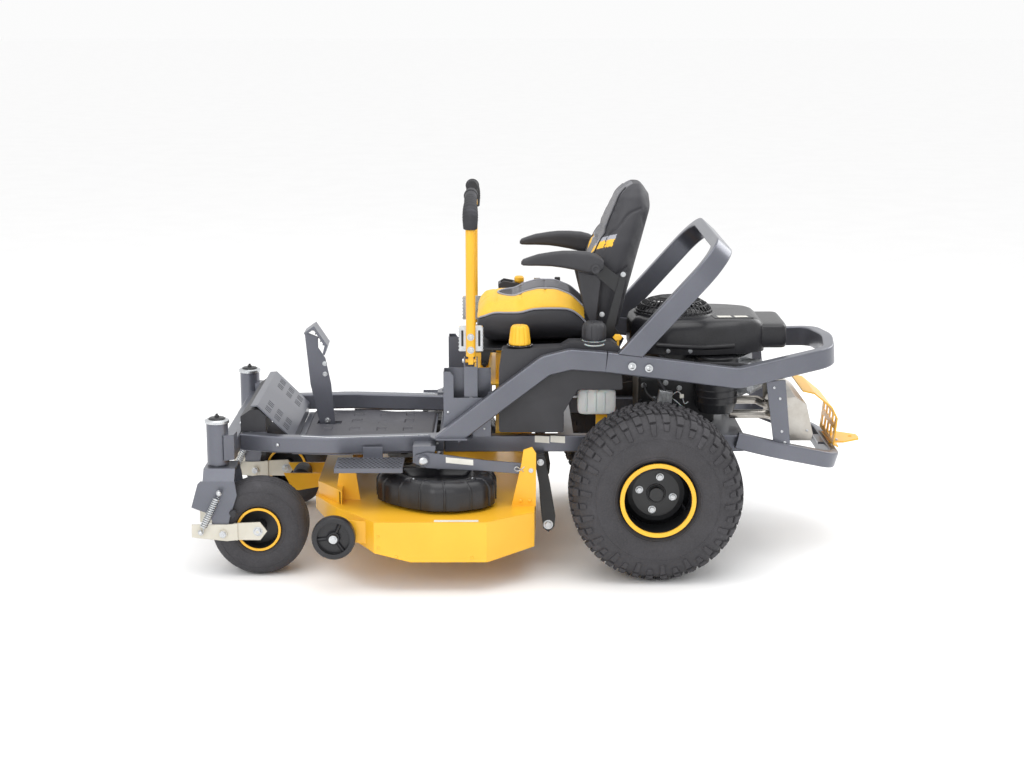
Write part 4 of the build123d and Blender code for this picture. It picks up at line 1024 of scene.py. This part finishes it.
coverReach = evened(reach(coverPlan, beltCover["centre"], beltCover["steps"]), 1)
foot, top, dish = beltCover["foot"], beltCover["top"], beltCover["dish"]
coverParts = [starSkin(coverReach, beltCover["centre"], [
    (1, 0.3, foot), (1, 0.3, 322), (1, 3, 334), (1, 14, 350), (1, 26, top), (0.62, 0, top),
    (0.58, 0, top - 6), (0.52, 0, dish + 4), (0.46, 0, dish),
    (0.02, 0, dish - 2), (0.02, 0, dish - 6), (0.5, 0, dish - 4), (0.66, 0, top - 4), (1, 30, top - 4),
    (1, 17, 346), (1, 7, 332), (1, 4, 322), (1, 4, foot)])]
for x, y in beltCover["ribs"]:
    inward = (Vector(beltCover["centre"]) - Vector((x, y))).normalized()
    turn = math.atan2(-inward.y, -inward.x) % (2 * math.pi)
    nearest = round(turn / 2 / math.pi * beltCover["steps"]) % beltCover["steps"]
    start = Vector(beltCover["centre"]) - inward * (coverReach[nearest] + 0.5)
    over = [(*(start + inward * drawn), z) for drawn, z in ((0, 264), (0, 322), (9, 339), (27, 354.5),
                                                            (52, 356))]
    coverParts.append(swept(smoothLine(over, 4), 4.5, 8))
for x, y in beltCover["bosses"]:
    coverParts.append(turnedUp([(0.5, 350), (13, 350), (11, 361), (6, 361), (5, 357), (0.5, 357)], (x, y),
                               24))
newPiece("beltCovers", withMirror(coverParts), glossPlastic, "deck", ["belt_covers"], 40)
coverScrews = [hexBolt((x, y, 358), (0, 0, 1), 4.5, 4) for x, y in beltCover["bosses"]]
newPiece("coverScrews", withMirror(coverScrews), zincPlate, "deck")

gaugeWheel = {"centre": (-1112, 196), "y": -685.0, "webs": 3, "spoke": 7.0}
gaugeRim = [(56, 19), (70, 19.5), (74, 16), (75, 8), (75, -8), (74, -16), (70, -19.5), (56, -19), (58, -10),
            (58, 10)]
gaugeHub = [(8.6, 17), (20, 17), (23, 14), (23, -14), (20, -18), (14, -18), (13, -14), (8.6, -14)]
gaugeDisc = [(20, -2), (58, -2), (58, 2), (20, 2)]


def gaugeWheelShape():
    x, z = gaugeWheel["centre"]
    y = gaugeWheel["y"]
    parts = [turnedOnY([(r, y + o) for r, o in profile], (x, z), 96) for profile in (gaugeRim, gaugeHub,
            gaugeDisc)]
    for k in range(gaugeWheel["webs"]):
        a = 2 * math.pi * (k + 0.2) / gaugeWheel["webs"]
        ends = [(x + r * math.sin(a), y, z + r * math.cos(a)) for r in (18, 60)]
        vertices, faces = swept(ends, gaugeWheel["spoke"], 8)
        parts.append(([(px, y + (py - y) * 2.0, pz) for px, py, pz in vertices], faces))
    return joined(parts)


mirroredPair("gaugeWheel", gaugeWheelShape(), glossPlastic, "gauge_wheel_{}",
             ["gauge_wheel_{}"])
mirroredPair("gaugeBolts", hexBolt((-1112, -712.2, 196), (0, -1, 0), 11, 7), zincPlate, "deck")
deckRivets = [(-900, -690.2, 128, 6), (-640, -690.2, 124, 6), (-960, -690.2, 160, 5), (-960, -690.2, 200, 5),
              (-472, -484.2, 268, 7), (-440, -484.2, 268, 7)]
mirroredPair("deckRivets", joined([domeRivet((x, y, z), (0, -1, 0), r) for x, y, z, r in deckRivets]),
             yellowCoat, "deck")
deckLabel = [(-770, -684), (-618, -684), (-618, -662), (-770, -662)]
mirroredPair("deckLabel", slab(deckLabel, 250.1, 250.5, "plan"), blankLabel, "deck")
print("deck covers and gauge wheels made")

# Lift arms: zinc pivots, clevis pins with spring clips, a blank label, and the black hanger bracket behind
# the deck
pivotCap = [(0.5, -487), (13, -487), (15, -489), (15, -492), (12, -494), (0.5, -494)]
clevisPin = [(0.5, -486), (8, -486), (9, -484), (9, -475.5), (0.5, -475.5)]
springClip = [(-462, -484, 374), (-474, -487, 384), (-486, -487, 392), (-494, -487, 384), (-484, -486, 376),
              (-470, -485, 382), (-458, -484, 392)]
liftPins = [turnedOnY(pivotCap, (-812, 412), 32), turnedOnY(clevisPin, (-436, 378), 24),
            swept(smoothLine(springClip, 5), 1.7, 8)]
mirroredPair("liftArmPins", joined(liftPins), zincPlate, "lift_shaft")
liftLabel = [(-734, 404), (-638, 394), (-638, 414), (-734, 424)]
mirroredPair("liftArmLabel", slab(liftLabel, -475.2, -474.5, "side"), blankLabel, "lift_shaft")
hangerPlate = [(-424, 398), (-386, 402), (-366, 300), (-346, 180), (-350, 140), (-370, 120), (-390, 134),
               (-396, 180), (-402, 240), (-406, 300)]
hangerFoot = [(-420, 410), (-386, 410), (-386, 386), (-420, 386)]
hangerParts = [slab(hangerPlate, -372, -366, "side", 1.0), slab(hangerFoot, -368, -330, "side", 2.0)]
hangerBolts = [hexBolt((-372, -372.2, 148), (0, -1, 0), 13, 8), hexBolt((-400, -372.2, 378), (0, -1, 0), 9,
        6)]
mirroredPair("deckHanger", joined(hangerParts), blackCoat, "root")
mirroredPair("deckHangerBolts", joined(hangerBolts), zincPlate, "root")
print("lift gear made")

# Foot deck: contoured rubber mat with pressed recesses, step grit, pedal tread and a blank plate
footMat = {"low": 402.3, "high": 411.0, "ridge": 1.6, "recess": 3.6, "across": 150, "along": 130,
           "front": -1268, "rear": -792,
           "recessRows": (-1190, -1090, -990, -890), "recessColumns": (-235, -130, 0, 130, 235),
           "halfWidth": [(-1268, 312), (-1120, 328), (-792, 286)], "pedalHole": (-1238, -1148, 82, 138)}


def matHeight(x, y):
    flow = math.sin((x * 0.9 + 40 * math.sin(y / 95)) / 26.0) * (1.0 if abs(y) > 120 else 0.4)
    height = footMat["high"] + footMat["ridge"] * flow
    for recessX in footMat["recessRows"]:
        for recessY in footMat["recessColumns"]:
            if abs(x - recessX) < 17 and abs(y - recessY) < 26:
                height = footMat["high"] - footMat["recess"]
    return height


def footMatShape():
    vertices, faces = [], []
    front, rear = footMat["front"], footMat["rear"]
    rows, columns = footMat["along"] + 1, footMat["across"] + 1
    for level in (0, 1):
        for i in range(rows):
            x = front + (rear - front) * i / footMat["along"]
            wide = between(footMat["halfWidth"], x)[0] - 0.5
            for j in range(columns):
                y = wide * (2 * j / footMat["across"] - 1)
                edge = min(1.0, (wide - abs(y)) / 5, (x - front) / 5, (rear - x) / 5)
                raised = footMat["low"] + 2 + (matHeight(x, y) - footMat["low"] - 2) * edge
                vertices.append((x, y, raised if level else footMat["low"]))
    count = rows * columns
    holeFront, holeRear, holeNear, holeFar = footMat["pedalHole"]
    upper = []
    for i in range(rows - 1):
        for j in range(columns - 1):
            a = i * columns + j
            b = a + columns + 1
            x, y = (vertices[a][0] + vertices[b][0]) / 2, (vertices[a][1] + vertices[b][1]) / 2
            if not (holeFront < x < holeRear and holeNear < y < holeFar):
                upper.append((a + count, a + 1 + count, b + count, a + columns + count))
                faces.append((a + columns, b, a + 1, a))
    edges = {(p, q) for face in upper for p, q in zip(face, face[1:] + face[:1])}
    walls = [(q, p, p - count, q - count) for p, q in edges if (q, p) not in edges]
    return vertices, faces + upper + walls


newPiece("footMat", footMatShape(), matRubber, "root", ["foot_mat"], 30)
grit = []
for i in range(14):
    for j in range(8):
        x, y = -1108 + i * 16 + (j % 2) * 8, -528 + j * 18
        grit.append(swept([(x - 4, y, 400.6), (x + 4, y, 400.6)], 1.4, 6))
mirroredPair("stepGrit", joined(grit), blackCoat, "root")
railTrim = [(-1250, -358.5, 471.6), (-1120, -377, 471.6), (-960, -361, 471.6), (-800, -343, 471.6)]
mirroredPair("railTrim", swept(smoothLine(railTrim, 6), 1.6, 8), zincPlate, "root")
railRivets = [domeRivet((-1335, -368, 441), (-0.25, -1, 0), 7), domeRivet((-770, -343.5, 441), (0, -1, 0), 7)]
mirroredPair("railRivets", joined(railRivets), zincPlate, "root")
treadBars = []
for k in range(5):
    x, z = -1246 + k * 9, 772 - k * 14
    treadBars.append(slab([(x, z + 4), (x + 6, z + 9), (x + 8, z + 5), (x + 2, z)], 64, 154, "side"))
newPiece("pedalTread", joined(treadBars), softRubber, "lift_pedal")
pedalBolts = [hexBolt((x, 103.6, z), (0, -1, 0), r, tall) for x, z, r, tall in ((-1206, 600, 7, 5),
        (-1206, 640, 7, 5), (-1200, 420, 8, 6))]
newPiece("pedalBolts", joined(pedalBolts), zincPlate, "lift_pedal")
frontPlate = [(-262, 484), (-178, 484), (-178, 506), (-262, 506)]
newPiece("frontPlateBlank", slab(frontPlate, -1474.9, -1474.2, "front"), blankLabel, "root")
coverBolts = [hexBolt((-1474.2, y, 498), (-1, 0, 0), 7, 5) for y in (-272, 272)]
newPiece("frontCoverBolts", joined(coverBolts), zincPlate, "root")
casterCap = [(0.5, 555.5), (30, 555.5), (26, 559), (9, 560), (8, 566), (5, 567), (4.5, 572), (0.5, 572)]
newPiece("casterCaps", withMirror([turnedUp(casterCap, (-1536, -435), 40)]), blackCoat, "root",
         (), 40)
print("foot deck details made")

# Side fenders: lugged fuel cap over a pale collar, height knob with finger flutes, round-cornered tank
fuelCap = {"centre": (-212, -325), "lugs": 6, "lugDepth": 4.5}
capProfile = [(16, 806.5, 0), (20, 807, 0), (20, 813.6, 0), (38, 813.6, 0.4), (42, 818, 1), (43.5, 826, 1),
              (43.5, 852, 1), (42, 862, 1), (37, 870, 0.7),
              (30, 876, 0.2), (18, 880, 0), (6, 881, 0), (0.5, 881, 0)]
heightKnob = {"centre": (-474, -330), "flutes": 12, "fluteDepth": 2.6}
knobProfile = [(9.9, 789, 0), (9.9, 799, 0), (37, 799.2, 0.3), (39, 802, 1), (39, 807, 1), (33.5, 852, 1),
               (31, 860, 0.8), (26, 866, 0.2), (12, 867.6, 0),
               (0.5, 867.8, 0)]


# a (radius, z, share) profile; cut(angle) is how far the full share draws in
def flutedTurning(profile, centre, cut):
    angles = [2 * math.pi * i / 144 for i in range(144)]
    return skin([[(centre[0] + (r - share * cut(a)) * math.cos(a),
                   centre[1] + (r - share * cut(a)) * math.sin(a), z) for a in angles]
                 for r, z, share in profile])


def aroundCentre(centre, radius, angle, z):
    return (centre[0] + radius * math.cos(angle), centre[1] + radius * math.sin(angle), z)


capParts = [flutedTurning(capProfile, fuelCap["centre"], lambda a: fuelCap["lugDepth"] * max(0.0,
        min(1.0, (0.15 - math.cos(a * fuelCap["lugs"])) * 3)))]
for k in range(3):  # finger bars across the dome
    a = math.pi * (k + 0.25) / 3
    capParts.append(swept([aroundCentre(fuelCap["centre"], r, a, z) for r, z in ((-30, 875), (0, 879.5),
            (30, 875))], [3, 4, 3], 10))
newPiece("fuelCap", joined(capParts), blackPlastic, "fuel_cap", ["fuel_cap"], 40)
collar = [(27, 812.3), (39, 812.3), (40, 810.8), (41.5, 810.4), (43, 812.2), (42, 813.2), (27, 813.2)]
neckLip = []
for degrees in range(0, 181, 12):
    a = math.radians(degrees)
    neckLip.append((fuelCap["centre"][0] + 34 * math.cos(a), fuelCap["centre"][1] - 39.5 - 0.5 * math.cos(a),
                    806 - 8 * math.sin(a)))
newPiece("fillerCollar", joined([turnedUp(collar, fuelCap["centre"], 72), swept(neckLip, 2.6, 10)]),
         tankPlastic, "root")
latchHead = [(-136, 812), (-118, 815), (-112, 826), (-122, 834), (-138, 834), (-146, 824)]
latchStem = [(-131, 790), (-124, 790), (-123, 816), (-132, 816)]
newPiece("tankLatch", joined([slab(latchHead, -344, -328, "side", 1.5), slab(latchStem, -340, -332, "side",
        1.0)]), yellowPlastic, "root")

knob = flutedTurning(knobProfile, heightKnob["centre"], lambda a: heightKnob["fluteDepth"] * max(0.0,
        math.cos(a * heightKnob["flutes"])) ** 2)
knobPointer = swept([(-474, -330, 868.2), (-474, -352, 866.2)], 1.6, 8)
newPiece("heightKnob", joined([knob, knobPointer]), yellowPlastic, "height_dial",
         ["height_dial"], 45)
dialRing = [(10.6, 794.6), (44, 794.6), (46, 796), (46, 797.4), (10.6, 797.4)]
newPiece("heightDialPlate", turnedUp(dialRing, heightKnob["centre"], 72), blackPlastic, "root")
dialMarks = []
for k in range(12):
    a = 2 * math.pi * k / 12
    dialMarks.append(swept([aroundCentre(heightKnob["centre"], r, a, 797.5) for r in (41.5, 45)], 0.9, 6))
newPiece("heightDialMarks", joined(dialMarks), blankLabel, "root")


# a swollen box from superellipse rings stacked along X
def roundedBlock(low, high, power=7.0, count=72, layers=18):
    middle = [(a + b) / 2 for a, b in zip(low, high)]
    half = [(b - a) / 2 for a, b in zip(low, high)]
    rings = []
    for i in range(layers + 1):
        t = -math.cos(math.pi * i / layers)
        size = max(max(1 - abs(t) ** power, 0.0) ** (1 / power), 0.55) if 0 < i < layers else 0.5
        ring = []
        for j in range(count):
            u, v = squared(2 * math.pi * j / count, power)
            ring.append((middle[0] + t * half[0], middle[1] + u * size * half[1],
                         middle[2] + v * size * half[2]))
        rings.append(ring)
    return skin(rings)


tankNeck = [(0.5, 628), (21.5, 628), (21.5, 800), (17, 800), (17, 634), (0.5, 634)]
tankParts = [roundedBlock((-268, -331, 542), (-132, -294, 636)), turnedUp(tankNeck, fuelCap["centre"], 48)]
tankParts += [swept([(x, -330.6, 556), (x, -331.2, 590), (x, -330.6, 622)], 2.4, 8) for x in (-236, -204,
        -172)]
newPiece("fuelTank", joined(tankParts), tankPlastic, "root", ["fuel_tank"], 50)
frameRivets = [domeRivet((x, -331.6, z), (0, -1, 0), 5.5) for x, z in ((430, 640), (452, 600), (462, 480),
        (474, 440))]
frameRivets += [domeRivet((x, -366.4, z), (0, -1, 0), 5) for x, z in ((-728, 500), (-728, 560), (-600, 500))]
mirroredPair("frameRivets", joined(frameRivets), zincPlate, "root")
frameLabels = [slab([(x, 441), (x + 52, 437), (x + 52, 462), (x, 465)], -327.6, -327.1,
                    "side") for x in (-420, -364)]
mirroredPair("frameLabels", joined(frameLabels), blankLabel, "root")
print("tank and side controls made")

# Engine: slatted fan guard on a pressed hood, air box, rocker covers, hoses, wiring and fasteners
engineHood = {"fan": (99, 0), "count": 144, "slats": 44, "guardRings": [(138, 868), (121, 888), (98, 901),
        (74, 908), (50, 912)],
              "slat": [(140, 862), (134, 874), (120, 889), (98, 902), (74, 909), (48, 913)]}
hoodPlan = [(-70, -110), (-20, -190), (60, -222), (200, -226), (330, -200), (420, -150), (420, 150),
            (330, 200), (200, 226), (60, 222), (-20, 190), (-70, 110)]
hoodProfile = [(1, 0.5, 737), (1, 0.5, 800), (1, 2, 818), (1, 9, 838), (1, 24, 850), (1, 40, 855.5),
               (0, -150, 856), (0, -146, 862), (0, -136, 862),
               (0, -134, 830), (0, -134, 816), (1, 8, 806), (1, 6, 737)]
hoodReach = evened(reach(hoodPlan, engineHood["fan"], engineHood["count"]), 3)
hoodParts = [starSkin(hoodReach, engineHood["fan"], hoodProfile)]
for r, z in engineHood["guardRings"]:
    hoodParts.append(turnedUp([(r - 3, z - 3), (r - 3, z + 1), (r - 1, z + 3), (r + 2, z + 2),
                               (r + 2, z - 3)], engineHood["fan"], 96))
for k in range(engineHood["slats"]):
    a = 2 * math.pi * k / engineHood["slats"]
    hoodParts.append(swept([aroundCentre(engineHood["fan"], r, a, z) for r, z in engineHood["slat"]],
                           [2.6, 2.6, 2.4, 2.2, 2.0, 1.8], 6))
guardCentre = [(0.5, 904), (50, 904), (52, 910), (48, 914), (20, 916), (0.5, 916)]
fanDisc = [(0.5, 846), (120, 846), (122, 852), (60, 866), (0.5, 868)]
hoodParts += [turnedUp(profile, engineHood["fan"], 64) for profile in (guardCentre, fanDisc)]
hoodParts.append(roundedBlock((392, -152, 744), (500, 152, 836), 8.0, 80, 20))  # air cleaner box
hoodParts += [swept([(496, y, 760), (499.5, y, 790), (496, y, 822)], 3, 8) for y in (-96, -32, 32, 96)]
for y in (-206, 206):  # pressed ducts along the hood's sides
    duct = [(20, y * 1.02, 770), (110, y * 1.1, 768), (210, y * 1.09, 766), (300, y * 0.99, 768)]
    hoodParts.append(swept(smoothLine(duct, 6), 9, 12))
newPiece("engineHood", joined(hoodParts), glossPlastic, "root", ["engine_shroud"], 40)
hoodPanel = [(226, -82), (366, -82), (378, -132), (236, -140)]
newPiece("hoodPanel", slab(hoodPanel, 856.2, 857.4, "plan", 0.3), blackCoat, "root")
hoodPlates = [[(246, -94), (296, -94), (300, -124), (250, -128)], [(308, -94), (354, -94), (360, -121),
        (312, -125)]]
newPiece("hoodBlankPlates", joined([slab(plate, 857.6, 858.0, "plan") for plate in hoodPlates]), blankLabel,
         "root")

canister = [(0.5, 523), (40, 520), (60, 526), (70, 546), (76.5, 566), (77.5, 640), (76.5, 700), (79, 704),
            (79, 716), (74, 722), (66, 730), (0.5, 730)]
canisterParts = [turnedUp(canister, (240, -190), 96)]
for z in (582, 606, 664):
    canisterParts.append(turnedUp([(75, z), (78.6, z + 1.5), (78.6, z + 4), (75, z + 5.5)], (240, -190), 96))
mirroredPair("oilCanister", joined(canisterParts), glossPlastic, "root", (), 40)
rockerCover = {"along": (0.86, -0.51, 0), "across": (0.51, 0.86, 0), "start": (150, -50, 650), "reach": 258,
               "profile": [(0, 58), (3, 60), (8, 58), (15, 54), (21, 46), (23, 38)]}


def rockerCoverShape():
    along, across = Vector(rockerCover["along"]), Vector(rockerCover["across"])

    def spot(depth, u, v):  # depth out from the head, u across it, v up
        return Vector(rockerCover["start"]) + along * (rockerCover["reach"]
                                                       + depth) + across * u + Vector((0, 0, v))

    rings = []
    for depth, size in rockerCover["profile"]:
        corners = [squared(2 * math.pi * j / 48, 5) for j in range(48)]
        rings.append([tuple(spot(depth, u * size, v * size)) for u, v in corners])
    parts = [skin(rings)]
    for k in range(-4, 5):
        parts.append(swept([spot(22, k * 9, -34), spot(25, k * 9, -34), spot(25, k * 9, 34),
                            spot(22, k * 9, 34)], 2.2, 6))
    for u, v in ((-48, -48), (48, -48), (-48, 48), (48, 48)):
        parts.append(hexBolt(spot(8, u, v), along, 6, 8))
    return joined(parts)


mirroredPair("rockerCover", rockerCoverShape(), castAluminium, "root", (), 40)
hoseRoutes = [  # (radius, sides, points)
    (6.5, 12, [(30, -196, 735), (60, -232, 716), (150, -262, 712), (250, -276, 716), (330, -250, 706),
               (372, -236, 690)]),
    (5.5, 12, [(10, -190, 700), (20, -224, 660), (44, -236, 618), (60, -228, 580), (96, -216, 556)]),
    (4.5, 10, [(-20, -170, 620), (-10, -210, 590), (40, -230, 560), (110, -226, 540), (150, -206, 530)]),
    (3.2, 8, [(-30, -160, 560), (-60, -220, 540), (-100, -250, 520), (-120, -256, 500)])]
hoses = [swept(smoothLine(points, 8), radius, count) for radius, count, points in hoseRoutes]
mirroredPair("engineHoses", joined(hoses), softRubber, "root", (), 60)
engineBolts = [hexBolt((x, -151, z), (0, -1, 0), 7.5, 7) for x, z in ((-20, 610), (20, 560), (60, 620),
        (110, 500), (110, 600), (20, 500))]
engineBolts += [hexBolt((x, -226, z), (0, -1, 0), 6, 6) for x, z in ((60, 752), (140, 752))]
mirroredPair("engineBolts", joined(engineBolts), zincPlate, "root")
regulator = [slab([(22, 560), (74, 556), (78, 604), (30, 612)], -246, -214, "side", 3.0)]
regulator += [swept([(30 + k * 8, -247.5, 566 - k * 0.6), (33 + k * 8, -247.5, 602 - k * 0.8)], 1.4,
                    6) for k in range(6)]
newPiece("regulator", joined(regulator), castAluminium, "root")
wireRoutes = [[(76, -230, 590), (96, -240, 606), (112, -236, 590), (122, -230, 560), (136, -226, 566)],
              [(76, -226, 580), (92, -238, 570), (108, -240, 556), (120, -230, 546)]]
newPiece("regulatorWires", joined([swept(smoothLine(route, 6), 1.8, 8) for route in wireRoutes]),
         tankPlastic, "root")
wireClip = [(104, 582), (118, 582), (118, 596), (104, 596)]
newPiece("wireClips", slab(wireClip, -244, -232, "side", 1.0), blankLabel, "root")
print("engine details made")

# Rear: shield rivets, tow guard bolts and bumper bolt heads
shieldRivets = [domeRivet((480, y, 571.5), (-0.1, 0, 1), 5) for y in (-170, -90, 0, 90, 170)]
shieldRivets += [domeRivet((585, y, 490), (1, 0, 0.2), 5) for y in (-170, 170)]
for hand in (-1, 1):
    shieldRivets += [domeRivet((x, hand * 192.2, z), (0, hand, 0), 5) for x, z in ((500, 540), (575, 450))]
newPiece("shieldRivets", joined(shieldRivets), zincPlate, "root")
newPiece("towBolts", joined([hexBolt((704, y, 381.8), (0, 0, 1), 8, 6) for y in (-60, 60)]), zincPlate,
         "root")
bumperBolt = [(0.5, -420), (14, -420), (14, -421.4), (9, -421.4), (8, -425), (4, -427), (0.5, -427.4)]
bumperBolts = [turnedOnY(bumperBolt, place, 32) for place in ((-82, 736), (-23, 729))]
mirroredPair("bumperBoltHeads", joined(bumperBolts), zincPlate, "root")
print("rear details made")

# Floor, light and camera
studio = {"floorHalf": 60.0, "floorColour": "#FFFFFF", "keyPower": 110.0, "fillPower": 50.0,
          "rimPower": 70.0, "worldStrength": 0.97}
floorMesh = bpy.data.meshes.new("studioFloor")
half = studio["floorHalf"]
floorMesh.from_pydata([(-half, -half, 0), (half, -half, 0), (half, half, 0), (-half, half, 0)], [],
                      [(0, 1, 2, 3)])
studioFloor = bpy.data.objects.new("studioFloor", floorMesh)
bpy.context.collection.objects.link(studioFloor)
floorMaterial, floorTree, floorPlace = startMaterial("matt studio paper, white")
fibres = addNode(floorTree, "ShaderNodeTexNoise", {"Scale": 3.0, "Detail": 2.0}, {"Vector": floorPlace})
paper = addNode(floorTree, "ShaderNodeValToRGB", {"stops": [(0.3, "#FDFDFD"), (0.7, studio["floorColour"])]},
                {"Fac": fibres.outputs["Fac"]})
paperBump = addNode(floorTree, "ShaderNodeBump", {"Strength": 0.02, "Distance": 0.0001},
                    {"Height": fibres.outputs["Fac"]})
closeMaterial(floorTree, paper.outputs["Color"], fibres.outputs["Fac"], paperBump.outputs["Normal"],
              {"gloss": (0.9, 1.0)})
floorMesh.materials.append(floorMaterial)

world = bpy.data.worlds.new("studioWorld")
bpy.context.scene.world = world
world.use_nodes = True
world.node_tree.nodes["Background"].inputs["Color"].default_value = (1.0, 1.0, 1.0, 1.0)
world.node_tree.nodes["Background"].inputs["Strength"].default_value = studio["worldStrength"]


def softBox(name, place, target, size, power):
    light = bpy.data.lights.new(name, "AREA")
    light.shape = "RECTANGLE"
    light.size, light.size_y = size
    light.energy = power
    lamp = bpy.data.objects.new(name, light)
    lamp.location = place
    lamp.rotation_euler = (Vector(target) - Vector(place)).to_track_quat("-Z", "Y").to_euler()
    bpy.context.collection.objects.link(lamp)


softBox("overheadSoftBox", at(-300, -600, 4600), at(-300, 0, 400), (5.0, 4.0), studio["keyPower"])
softBox("cameraSideSoftBox", at(-2600, -4600, 2600), at(-400, 0, 500), (3.0, 2.4), studio["fillPower"])
softBox("rearSoftBox", at(3200, 2600, 3000), at(0, 0, 700), (3.0, 2.0), studio["rimPower"])

lens = {"place": (-534.65, -6804.87, 2057.27), "down": 12.225, "turn": 0.293, "millimetres": 65.62}
cameraData = bpy.data.cameras.new("productCamera")
cameraData.lens = lens["millimetres"]
cameraData.sensor_width = 36.0
camera = bpy.data.objects.new("productCamera", cameraData)
camera.location = at(*lens["place"])
camera.rotation_euler = (math.radians(90 - lens["down"]), 0, math.radians(-lens["turn"]))
bpy.context.collection.objects.link(camera)
bpy.context.scene.camera = camera
bpy.context.scene.view_settings.view_transform = "Standard"
